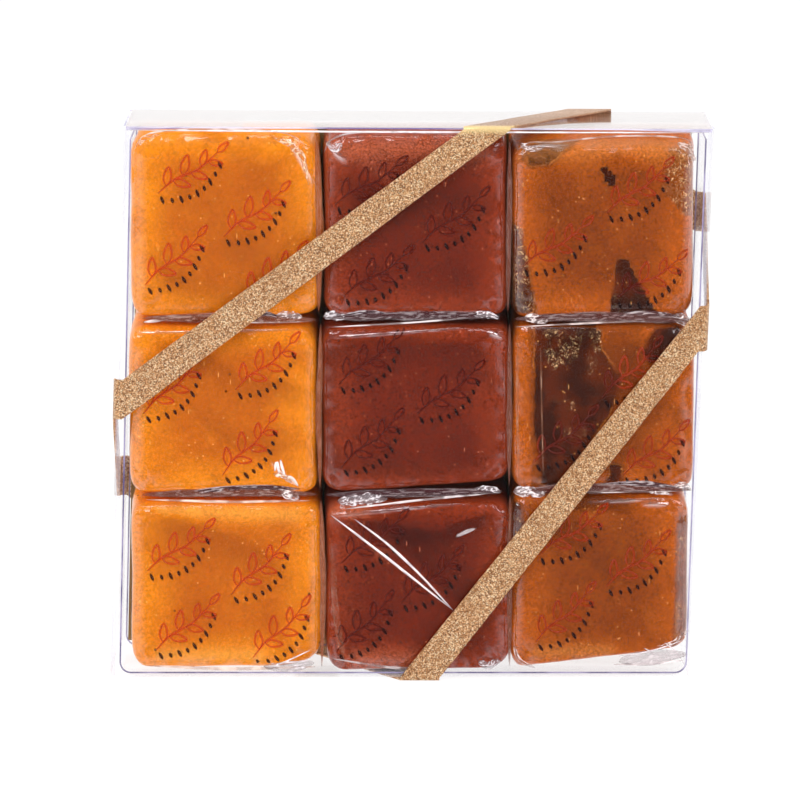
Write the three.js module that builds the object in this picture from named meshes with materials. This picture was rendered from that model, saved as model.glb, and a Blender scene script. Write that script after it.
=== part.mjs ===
// A clear folding box of nine film-wrapped caramels, tied shut with one loop of gold ribbon.
// Millimetres, +X to the right, +Y from the front panel into the box, +Z up. The origin is on the
// surface that the pack stands on, under the middle of the box.

import * as THREE from 'three';

// Box
const boxWidth = 108;
const boxHeight = 102.4;
const boxDepth = 28;
const sheet = 0.3; // thickness of the clear plastic sheet
const foldRadius = 1.2; // outside radius of the box's upright folds
const foldSteps = 3;
const seam = 0.15; // gap between pieces that lie on each other
const boxLean = 0.0357; // sideways lean of the soft box for each mm of height

// Lid, tuck flap and dust flaps
const tuckDepth = 14;
const tuckCorner = 6;
const dustReach = 21;
const dustTaper = 4;
const flapPlay = 1; // how far a flap's ends stay from the folds beside them

// Liner: a second clear sheet that wraps the caramels at both sides and below
const linerWidth = 105.6;
const linerShift = 0.3; // it lies a little to the right in the box
const linerLean = 0.028;
const linerRadius = 2.2;
const linerFront = 1.6; // how far its front edge stands behind the front panel
const linerBack = 2.4;
const linerDrop = 1; // from the caramels' top down to the liner's upper edge

// Card behind the caramels
const cardWidth = 103.6;
const cardShift = -0.2;
const cardHeight = 99;
const cardThickness = 1;
const cardLift = 1;

// Ribbon
const ribbonWidth = 6;
const ribbonThickness = 0.4;
const ribbonBendSteps = 2;

// Where the ribbon's centre line crosses the box's edges, once round the pack: the two panels that
// meet there, and the place along that edge, measured from the box's middle or its bottom.
const ribbonCrossings = [
  { from: 'left', to: 'front', at: 52.4 },
  { from: 'front', to: 'top', at: 12.4 },
  { from: 'top', to: 'back', at: 32 },
  { from: 'back', to: 'right', at: 83.5 },
  { from: 'right', to: 'front', at: 65.6 },
  { from: 'front', to: 'bottom', at: 3.8 },
  { from: 'bottom', to: 'back', at: -15.5 },
  { from: 'back', to: 'left', at: 33 },
];

// Caramels: the cells that they fill, and the depth of a piece
const cellColumns = [
  // left side, two joints and right side, for the bottom, middle and top row
  [-51.9, -16, 18.7, 51.6],
  [-51.6, -16.5, 18.6, 52.3],
  [-50.9, -16.1, 18.3, 52.8],
];
const cellRows = [
  // underside, two joints and top, for the left, middle and right column
  [1.7, 34.6, 67.6, 102.1],
  [1.6, 35, 67.6, 101.9],
  [1.8, 35.6, 67.6, 101.2],
];
const cellGap = 0.3;
const caramelFront = 0.9; // from the front panel to a piece's face
const caramelDepth = 23.2;
const faceEdge = 1.7; // rounding round a piece's face
const backEdge = 1.2;
const faceCrown = 0.35;
const unevenness = 0.22;
const cutLoss = 0.6; // how much a corner's cut shrinks for each mm that its ring lies further in
const leastCut = 0.8;
const cornerSteps = 4;
const sidePlaces = [1 / 3, 2 / 3]; // where the extra points of each side lie

// The two rings that crown a face: how far each lies inside the face's flat part, and its share of
// the crown's height.
const crownRings = [
  { inset: 1.6, share: 0.4 },
  { inset: 7.3, share: 0.1 },
];

// Behind its face a caramel fills its cell: the ring's share of the depth, and how much of the
// face's rise and of its corner cuts is left there.
const bodyRing = { depth: 0.45, rise: 0.6, cut: 0.8 };
const backRing = { rise: 0.3, cut: 0.6 };

// Each piece's face: how far its left, right, bottom and top edge stand inside the cell, what each
// corner loses along the width and along the height, and how far the bottom edge rises to the right.
const caramels = [
  { name: 'caramel_amber_top', row: 2, column: 0, colour: 0xe08228, edges: [0.5, 0.5, 0.6, 0.2],
    corners: { bottomLeft: [3, 4], bottomRight: [3.5, 3], topRight: [4, 9], topLeft: [4.5, 5] }, rise: 0.3 },
  { name: 'caramel_amber_middle', row: 1, column: 0, colour: 0xe08228, edges: [0.3, 0.4, 0.7, 0.6],
    corners: { bottomLeft: [3, 4], bottomRight: [2.5, 3], topRight: [3, 4], topLeft: [3.5, 3] }, rise: 0 },
  { name: 'caramel_amber_bottom', row: 0, column: 0, colour: 0xe08228, edges: [0.4, 0.4, 0.4, 0.9],
    corners: { bottomLeft: [3, 5], bottomRight: [9, 5], topRight: [2.5, 4], topLeft: [3, 4] }, rise: 0.4 },
  { name: 'caramel_cocoa_top', row: 2, column: 1, colour: 0x8a4a32, edges: [0.4, 0.5, 0.6, 0.3],
    corners: { bottomLeft: [4, 3], bottomRight: [2.5, 3], topRight: [2.5, 3], topLeft: [4, 5] }, rise: 0.2 },
  { name: 'caramel_cocoa_middle', row: 1, column: 1, colour: 0x8a4a32, edges: [0.3, 0.3, 0.2, 0.5],
    corners: { bottomLeft: [4.5, 4], bottomRight: [4, 3], topRight: [3, 2.5], topLeft: [3, 3] }, rise: 2.4 },
  { name: 'caramel_cocoa_bottom', row: 0, column: 1, colour: 0x8a4a32, edges: [0.5, 0.2, 0.3, 0.7],
    corners: { bottomLeft: [3, 6], bottomRight: [6, 5], topRight: [3, 4], topLeft: [3, 4] }, rise: 0.2 },
  { name: 'caramel_marbled_top', row: 2, column: 2, colour: 0xb4602a, edges: [0.5, 0.6, 0.6, 1.4],
    corners: { bottomLeft: [2.5, 3], bottomRight: [2.5, 3], topRight: [2, 3], topLeft: [2.5, 2.5] },
    rise: 0.2 },
  { name: 'caramel_marbled_middle', row: 1, column: 2, colour: 0xb4602a, edges: [0.3, 0.4, 0.5, 0.5],
    corners: { bottomLeft: [2.5, 3], bottomRight: [2.5, 3], topRight: [2.5, 2.5], topLeft: [2.5, 3] },
    rise: 0.2 },
  { name: 'caramel_marbled_bottom', row: 0, column: 2, colour: 0xb4602a, edges: [0.2, 0.6, 0.3, 0.5],
    corners: { bottomLeft: [2.5, 4], bottomRight: [3, 3], topRight: [2.5, 5], topLeft: [2.5, 3] }, rise: 4 },
];

const floorZ = ribbonThickness + seam; // underside of the box, which stands on the ribbon
const topZ = floorZ + boxHeight;
const middleZ = floorZ + boxHeight / 2;
const halfDepth = boxDepth / 2;

const clearPlastic = new THREE.MeshStandardMaterial({
  color: 0xe9e9f2, roughness: 0.08, metalness: 0, transparent: true, opacity: 0.25,
});
const goldCard = new THREE.MeshStandardMaterial({ color: 0x6b5526, roughness: 0.5, metalness: 0.3 });
const goldRibbon = new THREE.MeshStandardMaterial({ color: 0xc49f68, roughness: 0.5, metalness: 0.5 });

const pack = new THREE.Group();

function addPiece(name, geometry, material) {
  const piece = new THREE.Mesh(geometry, material);
  piece.name = name;
  pack.add(piece);
}

// One closed body over rings of points that all have the same count. Seen against the direction
// from the first ring to the last, each ring runs counter-clockwise. Without caps the last ring
// joins the first, as on a band.
function loft(rings, capped = true) {
  const points = rings.flat();
  const count = rings[0].length;
  const faces = [];
  const pairs = capped ? rings.length - 1 : rings.length;
  for (let k = 0; k < pairs; k++) {
    const low = k * count;
    const high = ((k + 1) % rings.length) * count;
    for (let i = 0; i < count; i++) {
      const j = (i + 1) % count;
      faces.push(low + i, low + j, high + j, low + i, high + j, high + i);
    }
  }
  if (capped) {
    const last = (rings.length - 1) * count;
    const centre = (ring) => ring.reduce((sum, p) => sum.add(p), new THREE.Vector3()).divideScalar(count);
    const firstCentre = points.push(centre(rings[0])) - 1;
    const lastCentre = points.push(centre(rings.at(-1))) - 1;
    for (let i = 0; i < count; i++) {
      const j = (i + 1) % count;
      faces.push(firstCentre, j, i, lastCentre, last + i, last + j);
    }
  }
  const geometry = new THREE.BufferGeometry().setFromPoints(points);
  geometry.setIndex(faces);
  geometry.computeVertexNormals();
  return geometry;
}

// Leans a geometry sideways about the box's middle height.
function lean(geometry, amount) {
  const shear = new THREE.Matrix4().makeShear(0, 0, 0, 0, amount, 0);
  return geometry.translate(0, 0, -middleZ).applyMatrix4(shear).translate(0, 0, middleZ);
}

// A level ring in the shape of a rectangle with round corners, counter-clockwise from above.
function roundedRing(width, depth, radius, z) {
  const ring = [];
  for (const [sx, sy, start] of [[1, -1, -90], [1, 1, 0], [-1, 1, 90], [-1, -1, 180]]) {
    for (let k = 0; k <= foldSteps; k++) {
      const angle = THREE.MathUtils.degToRad(start + (90 * k) / foldSteps);
      ring.push(new THREE.Vector3(
        sx * (width / 2 - radius) + radius * Math.cos(angle),
        sy * (depth / 2 - radius) + radius * Math.sin(angle),
        z,
      ));
    }
  }
  return ring;
}

// Four upright panels and the bottom, open at the top.
function boxBody() {
  const inside = [boxWidth - 2 * sheet, boxDepth - 2 * sheet, foldRadius - sheet];
  return lean(loft([
    roundedRing(boxWidth, boxDepth, foldRadius, floorZ),
    roundedRing(boxWidth, boxDepth, foldRadius, topZ),
    roundedRing(...inside, topZ),
    roundedRing(...inside, floorZ + sheet),
  ]), boxLean);
}

// A flat outline in X and Y, made a plate of the sheet's thickness with its underside at z.
function plate(outline, z, thickness = sheet) {
  return new THREE.ExtrudeGeometry(outline, { depth: thickness, bevelEnabled: false }).translate(0, 0, z);
}

// The top panel, which closes the box between its four walls.
function lidPanel() {
  const ring = roundedRing(boxWidth - 2 * sheet - 2 * seam, boxDepth - 2 * sheet - 2 * seam, foldRadius, 0);
  const outline = new THREE.Shape(ring.map((p) => new THREE.Vector2(p.x, p.y)));
  return lean(plate(outline, topZ - sheet), boxLean);
}

// The lid's flap, which tucks down inside the back panel and has cut corners.
function tuckFlap() {
  const half = boxWidth / 2 - sheet - flapPlay;
  const outline = new THREE.Shape([
    new THREE.Vector2(-half, 0),
    new THREE.Vector2(-half, -(tuckDepth - tuckCorner)),
    new THREE.Vector2(-half + tuckCorner, -tuckDepth),
    new THREE.Vector2(half - tuckCorner, -tuckDepth),
    new THREE.Vector2(half, -(tuckDepth - tuckCorner)),
    new THREE.Vector2(half, 0),
  ]);
  const flap = plate(outline, 0).rotateX(Math.PI / 2);
  return lean(flap.translate(0, halfDepth - sheet - seam, topZ - sheet - seam), boxLean);
}

// A dust flap under the lid, hinged at one side panel and tapered towards its free end.
function dustFlap(side) {
  const hinge = side * (boxWidth / 2 - sheet - seam);
  const end = hinge - side * dustReach;
  const front = -(halfDepth - sheet - flapPlay);
  const back = halfDepth - 2 * sheet - 2 * seam - flapPlay;
  const outline = new THREE.Shape([
    new THREE.Vector2(hinge, front),
    new THREE.Vector2(end, front + dustTaper),
    new THREE.Vector2(end, back - dustTaper),
    new THREE.Vector2(hinge, back),
  ]);
  return lean(plate(outline, topZ - 2 * sheet - seam), boxLean);
}

// The liner's section is a wide U with round lower corners, followed outside and then inside.
function liner() {
  const wallTop = cellRows[1][3] - linerDrop;
  const bottom = floorZ + sheet + seam;
  const side = (inset) => {
    const half = linerWidth / 2 - inset;
    const radius = linerRadius - inset;
    const points = [];
    for (let k = 0; k <= foldSteps; k++) {
      const angle = (Math.PI / 2) * (k / foldSteps);
      const across = radius * Math.sin(angle);
      points.push([half - radius + across, bottom + inset + radius * (1 - Math.cos(angle))]);
    }
    points.push([half, wallTop]);
    return points;
  };
  const outer = side(0);
  const inner = side(sheet);
  const mirrored = (points) => points.map(([x, z]) => [-x, z]);
  const section = [...mirrored(outer).reverse(), ...outer, ...inner.toReversed(), ...mirrored(inner)];
  const outline = new THREE.Shape(section.map(([x, z]) => new THREE.Vector2(x, z)));
  const length = boxDepth - linerFront - linerBack;
  const sleeve = plate(outline, 0, length).rotateX(Math.PI / 2);
  return lean(sleeve.translate(linerShift, halfDepth - linerBack, 0), linerLean);
}

// The card that stands behind the caramels, inside the liner.
function backingCard() {
  const card = new THREE.BoxGeometry(cardWidth, cardThickness, cardHeight);
  const back = halfDepth - linerBack - seam;
  const low = floorZ + 2 * sheet + seam + cardLift;
  return lean(card.translate(cardShift, back - cardThickness / 2, low + cardHeight / 2), linerLean);
}

// Repeatable small unevenness between -1 and 1.
function wobble(seed) {
  const value = Math.sin(seed * 12.9898) * 43758.5453;
  return 2 * (value - Math.floor(value)) - 1;
}

// The outline of a caramel in X and Z: four corners, each cut back and rounded, and two more
// points along each side. Corners are given as { at: Vector2, cut: [x, z] }, counter-clockwise
// seen from the front.
function caramelRing(corners, inset, y, seed) {
  const ring = [];
  const middle = corners.reduce((sum, c) => sum.add(c.at), new THREE.Vector2()).divideScalar(4);
  const towards = (from, to) => from + inset * Math.sign(to - from);
  const moved = corners.map(({ at, cut }) => ({
    at: new THREE.Vector2(towards(at.x, middle.x), towards(at.y, middle.y)),
    cut: cut.map((length) => Math.max(length - cutLoss * inset, leastCut)),
  }));
  const along = (from, to, length) => from.clone().add(to.clone().sub(from).setLength(length));
  moved.forEach(({ at, cut }, i) => {
    const previous = moved[(i + 3) % 4].at;
    const next = moved[(i + 1) % 4];
    const [inCut, outCut] = i % 2 === 0 ? [cut[1], cut[0]] : [cut[0], cut[1]];
    const start = along(at, previous, inCut);
    const end = along(at, next.at, outCut);
    ring.push(...new THREE.QuadraticBezierCurve(start, at, end).getPoints(cornerSteps));
    const nextIn = i % 2 === 0 ? next.cut[0] : next.cut[1];
    const sideEnd = along(next.at, at, nextIn);
    for (const t of sidePlaces) {
      ring.push(end.clone().lerp(sideEnd, t));
    }
  });
  return ring.map((p, i) => {
    const dent = (unevenness * (1 + wobble(seed + i))) / 2;
    const out = p.clone().sub(middle).setLength(-dent);
    return new THREE.Vector3(p.x + out.x, y, p.y + out.y);
  });
}

// One wrapped caramel: a block with soft edges whose face is smaller than the cell that it fills.
function caramel({ row, column, edges, corners, rise }, seed) {
  const left = cellColumns[row][column] + cellGap / 2;
  const right = cellColumns[row][column + 1] - cellGap / 2;
  const bottom = cellRows[column][row] + cellGap / 2;
  const top = cellRows[column][row + 1] - cellGap / 2;
  const cuts = [corners.bottomLeft, corners.bottomRight, corners.topRight, corners.topLeft];
  const block = (x0, x1, z0, z1, lift, scale) => [
    [x0, z0], [x1, z0 + lift], [x1, z1], [x0, z1],
  ].map(([x, z], i) => ({ at: new THREE.Vector2(x, z), cut: cuts[i].map((length) => length * scale) }));
  const face = block(left + edges[0], right - edges[1], bottom + edges[2], top - edges[3], rise, 1);
  const body = block(left, right, bottom, top, bodyRing.rise * rise, bodyRing.cut);
  const back = block(left, right, bottom, top, backRing.rise * rise, backRing.cut);
  const front = -halfDepth + sheet + caramelFront;
  const rear = front + caramelDepth;
  const bend = 1 - Math.SQRT1_2;
  const ring = (shape, inset, y) => caramelRing(shape, inset, y, seed * 100);
  return loft([
    ring(back, backEdge, rear),
    ring(back, backEdge * bend, rear - backEdge * bend),
    ring(back, 0, rear - backEdge),
    ring(body, 0, front + bodyRing.depth * caramelDepth),
    ring(face, 0, front + faceCrown + faceEdge),
    ring(face, faceEdge * bend, front + faceCrown + faceEdge * bend),
    ring(face, faceEdge, front + faceCrown),
    ...crownRings.map(({ inset, share }) => ring(face, faceEdge + inset, front + faceCrown * share)),
  ]);
}

// The ribbon: a closed band that follows the box's panels and bends round its edges. Each crossing
// turns the band from one panel's outward direction to the next one's.
function ribbon() {
  const outward = {
    left: new THREE.Vector3(-1, 0, 0),
    right: new THREE.Vector3(1, 0, 0),
    front: new THREE.Vector3(0, -1, 0),
    back: new THREE.Vector3(0, 1, 0),
    bottom: new THREE.Vector3(0, 0, -1),
    top: new THREE.Vector3(0, 0, 1),
  };
  const half = new THREE.Vector3(boxWidth / 2, halfDepth, boxHeight / 2);
  const crossings = ribbonCrossings.map(({ from, to, at }) => {
    const [a, b] = [outward[from], outward[to]];
    const edge = new THREE.Vector3().crossVectors(a, b); // unit vector along the box's edge
    const upright = Math.abs(edge.z) > 0.5;
    const place = a.clone().add(b).multiply(half).add(new THREE.Vector3(0, 0, middleZ));
    place.setComponent(upright ? 2 : 0, upright ? at + floorZ : at);
    return { a, b, edge, place, radius: upright ? foldRadius : 0 };
  });
  const rings = [];
  crossings.forEach(({ a, b, edge, place, radius }, i) => {
    const before = crossings.at(i - 1).place;
    const after = crossings[(i + 1) % crossings.length].place;
    const inward = place.clone().sub(before).normalize();
    const onward = after.clone().sub(place).normalize();
    const slant = (direction) => new THREE.Vector3().crossVectors(direction, edge).length();
    const reach = (ribbonWidth / 4) * (1 / slant(inward) + 1 / slant(onward)); // half width along the edge
    const leftward = new THREE.Vector3().crossVectors(a, inward);
    const side = edge.clone().multiplyScalar(Math.sign(edge.dot(leftward)) * reach);
    const axis = place.clone().sub(a.clone().add(b).multiplyScalar(radius));
    for (let k = 0; k <= ribbonBendSteps; k++) {
      const angle = (Math.PI / 2) * (k / ribbonBendSteps);
      const normal = a.clone().multiplyScalar(Math.cos(angle)).addScaledVector(b, Math.sin(angle));
      const corner = (sign, height) => axis.clone()
        .add(side.clone().multiplyScalar(sign))
        .add(normal.clone().multiplyScalar(radius + seam + height));
      rings.push([corner(1, 0), corner(1, ribbonThickness), corner(-1, ribbonThickness), corner(-1, 0)]);
    }
  });
  return lean(loft(rings, false), boxLean);
}

addPiece('box_body', boxBody(), clearPlastic);
addPiece('box_lid', lidPanel(), clearPlastic);
addPiece('tuck_flap', tuckFlap(), clearPlastic);
addPiece('dust_flap_left', dustFlap(-1), clearPlastic);
addPiece('dust_flap_right', dustFlap(1), clearPlastic);
addPiece('clear_liner', liner(), clearPlastic);
addPiece('backing_card', backingCard(), goldCard);
caramels.forEach((piece, i) => {
  const material = new THREE.MeshStandardMaterial({ color: piece.colour, roughness: 0.35, metalness: 0 });
  addPiece(piece.name, caramel(piece, i + 1), material);
});
addPiece('ribbon', ribbon(), goldRibbon);

export default pack;
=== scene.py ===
import math

import bmesh
import bpy
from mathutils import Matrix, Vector, noise
from mathutils.bvhtree import BVHTree


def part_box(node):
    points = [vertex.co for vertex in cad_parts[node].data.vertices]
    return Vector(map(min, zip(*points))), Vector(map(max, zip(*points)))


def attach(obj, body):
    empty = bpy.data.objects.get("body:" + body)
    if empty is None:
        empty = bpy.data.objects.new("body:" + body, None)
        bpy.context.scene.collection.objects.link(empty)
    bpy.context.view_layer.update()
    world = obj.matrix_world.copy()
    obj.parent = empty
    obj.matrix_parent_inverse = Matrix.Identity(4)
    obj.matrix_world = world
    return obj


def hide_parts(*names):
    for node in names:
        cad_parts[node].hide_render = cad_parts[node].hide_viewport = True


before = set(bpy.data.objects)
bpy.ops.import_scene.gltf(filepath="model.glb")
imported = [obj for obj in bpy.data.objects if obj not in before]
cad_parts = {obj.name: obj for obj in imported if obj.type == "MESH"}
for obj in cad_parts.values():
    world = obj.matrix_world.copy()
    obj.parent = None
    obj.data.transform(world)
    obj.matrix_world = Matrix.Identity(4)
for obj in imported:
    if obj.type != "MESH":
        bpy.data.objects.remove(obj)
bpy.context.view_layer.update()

# Clear gift box of nine wrapped caramels with a gold ribbon. Lengths below are in millimetres and
# turned into metres by mm.
mm = 0.001

box = {
    "lean": 0.0357,         # sideways lean for each mm of height
    "sheet": 0.3,           # thickness of the clear sheet
    "seam": 0.15,           # gap between pieces that lie on each other
    "foldRadius": 1.2,      # of the upright folds
    "baseRadius": 0.35,     # of the folds round the bottom
    "tip": 0.5,             # how much higher the left end of the lid stands
    "tipReach": 12,         # how far down the walls that goes
    "flatEnd": 4,           # how much of the right end it leaves as it is
}
bodyLow, bodyHigh = (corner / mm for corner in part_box("box_body"))
floorZ, topZ = bodyLow.z, bodyHigh.z
middleZ = (floorZ + topZ) / 2
boxHeight = topZ - floorZ
boxWidth = bodyHigh.x - bodyLow.x - box["lean"] * boxHeight
boxDepth = bodyHigh.y - bodyLow.y
inset = box["sheet"] + box["seam"]      # from the outside of the box to what lies inside it


# Helpers for modelling

def alone(piece):
    # only this piece is selected and active
    if bpy.context.mode != "OBJECT":
        bpy.ops.object.mode_set(mode="OBJECT")
    bpy.ops.object.select_all(action="DESELECT")
    piece.select_set(True)
    bpy.context.view_layer.objects.active = piece


def settled(name):
    # names the primitive that was just added and puts its place into its mesh
    piece = bpy.context.object
    piece.name = piece.data.name = name
    alone(piece)
    bpy.ops.object.transform_apply(location=True, rotation=True, scale=True)
    return piece


def block(name, size, centre):
    bpy.ops.object.select_all(action="DESELECT")
    bpy.ops.mesh.primitive_cube_add(size=1, location=Vector(centre) * mm, scale=Vector(size) * mm)
    return settled(name)


def sheetPlane(name, size, centre, cuts=None):
    # a flat rectangle, or a grid when cuts are given
    bpy.ops.object.select_all(action="DESELECT")
    place = {"size": 1, "location": Vector(centre) * mm}
    if cuts:
        bpy.ops.mesh.primitive_grid_add(x_subdivisions=cuts[0], y_subdivisions=cuts[1], **place)
    else:
        bpy.ops.mesh.primitive_plane_add(**place)
    bpy.context.object.scale = Vector((size[0], size[1], 1)) * mm
    return settled(name)


def pick(piece, kind, test):
    # enters edit mode and selects the vertices, edges or faces that pass the test
    alone(piece)
    bpy.ops.object.mode_set(mode="EDIT")
    bpy.ops.mesh.select_mode(type=kind)
    bpy.ops.mesh.select_all(action="DESELECT")
    shape = bmesh.from_edit_mesh(piece.data)
    for part in {"VERT": shape.verts, "EDGE": shape.edges, "FACE": shape.faces}[kind]:
        if test(part):
            part.select_set(True)
    bmesh.update_edit_mesh(piece.data)


def done(piece):
    bpy.ops.object.mode_set(mode="OBJECT")
    return piece


def middleOf(edge):
    return (edge.verts[0].co + edge.verts[1].co) / 2 / mm


def alongAxis(edge, axis):
    span = edge.verts[1].co - edge.verts[0].co
    return abs(span[axis]) > 0.95 * span.length


def finished(piece, kind, **settings):
    # adds a modifier and applies it at once
    alone(piece)
    modifier = piece.modifiers.new(kind.title(), kind)
    for key, value in settings.items():
        setattr(modifier, key, value)
    bpy.ops.object.modifier_apply(modifier=modifier.name)


def moved(piece, shift):
    # moves every vertex by what shift returns for its place, both in mm
    for vertex in piece.data.vertices:
        vertex.co += Vector(shift(vertex.co / mm)) * mm
    piece.data.update()
    return piece


def leant(piece, amount):
    moved(piece, lambda p: (amount * (p.z - middleZ), 0, 0))


def smooth(piece, degrees=40):
    alone(piece)
    bpy.ops.object.shade_smooth_by_angle(angle=math.radians(degrees))


def allSmooth(piece):
    alone(piece)
    bpy.ops.object.shade_smooth()


def joined(pieces, name):
    alone(pieces[0])
    for piece in pieces[1:]:
        piece.select_set(True)
    bpy.ops.object.join()
    whole = bpy.context.object
    whole.name = whole.data.name = name
    return whole


def copyOf(piece, name):
    twin = bpy.data.objects.new(name, piece.data.copy())
    twin.data.name = name
    bpy.context.scene.collection.objects.link(twin)
    return twin


def nodeCopy(node, name):
    # a CAD node's mesh as a piece of its own, with its loose triangles merged
    piece = copyOf(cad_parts[node], name)
    piece.data.materials.clear()
    alone(piece)
    bpy.ops.object.mode_set(mode="EDIT")
    bpy.ops.mesh.select_all(action="SELECT")
    bpy.ops.mesh.remove_doubles(threshold=0.002 * mm)
    bpy.ops.mesh.tris_convert_to_quads()
    return done(piece)


def sheeted(piece, skin, edge):
    # gives a flat piece the thickness of the clear sheet, with the second material, painted edge
    # light, at its cut edges
    piece.data.materials.append(skin)
    piece.data.materials.append(edge)
    finished(piece, "SOLIDIFY", thickness=box["sheet"] * mm, offset=-1, material_offset_rim=1)


def dressed(piece, materials, slot, *nodes, clear=False):
    # gives a piece its materials, its body and the CAD nodes that it stands for; what is clear lets
    # all light through to the caramels
    for material in materials:
        piece.data.materials.append(material)
    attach(piece, "root")
    piece.visible_shadow = piece.visible_diffuse = not clear
    if nodes:
        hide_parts(*nodes)
    return piece


def marks(piece, *keys):
    # gives each vertex a number under each key, and returns the lists of them
    for key in keys:
        piece.data.attributes.new(key, "FLOAT", "POINT")
    return [piece.data.attributes[key].data for key in keys]


def ramp01(value, low, high):
    t = min(max((value - low) / (high - low), 0), 1)
    return t * t * (3 - 2 * t)


def ridged(p):
    return 1 - abs(2 * noise.noise(p))


# Helpers for materials

def colour(red, green, blue):
    # screen values from 0 to 255 made the linear colour that Blender works in
    def linear(c):
        c /= 255
        return c / 12.92 if c <= 0.04045 else ((c + 0.055) / 1.055) ** 2.4
    return (linear(red), linear(green), linear(blue), 1)


class Wire:
    # an output socket that can stand in shader maths
    def __init__(self, finish, socket):
        self.finish, self.socket = finish, socket

    def maths(self, operation, *values):
        return self.finish.node("ShaderNodeMath", {"operation": operation}, dict(enumerate(values)))

    def __add__(self, other):
        return self.maths("ADD", self, other)

    def __radd__(self, other):
        return self.maths("ADD", other, self)

    def __sub__(self, other):
        return self.maths("SUBTRACT", self, other)

    def __rsub__(self, other):
        return self.maths("SUBTRACT", other, self)

    def __mul__(self, other):
        return self.maths("MULTIPLY", self, other)

    def __rmul__(self, other):
        return self.maths("MULTIPLY", other, self)

    def __truediv__(self, other):
        return self.maths("DIVIDE", self, other)

    def __pow__(self, other):
        return self.maths("POWER", self, other)

    def most(self, other):
        return self.maths("MAXIMUM", self, other)

    def least(self, other):
        return self.maths("MINIMUM", self, other)

    def step(self, low, high):
        # 0 below low, 1 above high, smooth between; low may be the larger one
        return self.finish.node(
            "ShaderNodeMapRange",
            {"interpolation_type": "SMOOTHSTEP"},
            {"Value": self, "From Min": low, "From Max": high},
        )


class Finish:
    # one node material, built from top to bottom
    def __init__(self, name):
        self.material = bpy.data.materials.new(name)
        self.material.use_nodes = True
        self.tree = self.material.node_tree
        self.tree.nodes.clear()

    def node(self, kind, settings=None, sockets=None, output=0):
        made = self.tree.nodes.new(kind)
        for key, value in (settings or {}).items():
            if key == "stops":
                stops = made.color_ramp.elements
                while len(stops) < len(value):
                    stops.new(0.5)
                for stop, (place, tint) in zip(stops, value):
                    stop.position, stop.color = place, tint
            else:
                setattr(made, key, value)
        for key, value in (sockets or {}).items():
            if isinstance(value, Wire):
                self.tree.links.new(value.socket, made.inputs[key])
            else:
                made.inputs[key].default_value = value
        return Wire(self, made.outputs[output]) if made.outputs else None

    def place(self):
        return self.node("ShaderNodeTexCoord", output="Object")

    def attribute(self, name, output="Fac"):
        return self.node("ShaderNodeAttribute", {"attribute_name": name}, output=output)

    def parts(self, vector):
        split = self.tree.nodes.new("ShaderNodeSeparateXYZ")
        self.tree.links.new(vector.socket, split.inputs[0])
        return [Wire(self, out) for out in split.outputs]

    def stretched(self, vector, scale, turn=(0, 0, 0)):
        sockets = {"Vector": vector, "Scale": scale, "Rotation": turn}
        return self.node("ShaderNodeMapping", {}, sockets)

    def noise(self, vector, size, detail=2, rough=0.5, distortion=0.0):
        # size is the width of one patch in mm
        sockets = {"Vector": vector, "Scale": 1 / (size * mm), "Detail": detail,
                   "Roughness": rough, "Distortion": distortion}
        return self.node("ShaderNodeTexNoise", {}, sockets)

    def scattered(self, vector, size, output):
        sockets = {"Vector": vector, "Scale": 1 / (size * mm)}
        return self.node("ShaderNodeTexVoronoi", {}, sockets, output)

    def specks(self, vector, size):
        # distance to the nearest of scattered points, in cells of the given size in mm
        return self.scattered(vector, size, "Distance")

    def crumbs(self, vector, size):
        # a value from 0 to 1 for each small cell of the given size in mm, at random
        return self.parts(self.scattered(vector, size, "Color"))[0]

    def mix(self, first, second, factor, blend="MIX"):
        settings = {"data_type": "RGBA", "blend_type": blend}
        return self.node("ShaderNodeMix", settings, {0: factor, 6: first, 7: second}, 2)

    def bump(self, height, strength, distance):
        sockets = {"Height": height, "Strength": strength, "Distance": distance * mm}
        return self.node("ShaderNodeBump", {}, sockets)

    def surface(self, **sockets):
        named = {key.replace("_", " "): value for key, value in sockets.items()}
        return self.node("ShaderNodeBsdfPrincipled", {}, named)

    def seeThrough(self, shader, share):
        # the shader over what lies behind it; share is how much of the shader shows
        clear = self.node("ShaderNodeBsdfTransparent")
        return self.node("ShaderNodeMixShader", {}, {0: share, 1: clear, 2: shader})

    def facing(self):
        # 0 straight on, up to 1 at a slant
        return self.node("ShaderNodeLayerWeight", {}, {"Blend": 0.5}, "Facing")

    def end(self, shader):
        self.node("ShaderNodeOutputMaterial", {}, {"Surface": shader})
        return self.material


# Camera, floor and lights

camera = {
    "aim": (-1.66, 0, 50.45),
    "distance": 1000,
    "elevation": 9.7,       # degrees above the horizon
    "focal": 241,           # on a 36 mm wide sensor
}
studio = {
    "world": (0.22, 1.05),   # strength in front of the box and behind it
    "fade": (0.1, 0.8),      # where the one turns into the other
    "floor": ((0.16, 0.16, 0.165, 1), (0.14, 0.14, 0.145, 1)),
    "floorGlow": 0.9,
    # name: (azimuth, elevation, distance, width, height, watts)
    "lights": {
        "keyLeft": (-34, 46, 1000, 700, 600, 5.5),
        "keyRight": (40, 38, 1100, 500, 700, 3.5),
        "top": (0, 85, 900, 700, 300, 1.5),
        "rimLeft": (-100, 20, 900, 160, 600, 1.4),
        "rimRight": (100, 20, 900, 160, 600, 1.4),
    },
}


def onSphere(azimuth, elevation, distance):
    a, e = math.radians(azimuth), math.radians(elevation)
    return Vector((math.sin(a) * math.cos(e), -math.cos(a) * math.cos(e), math.sin(e))) * distance


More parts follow.
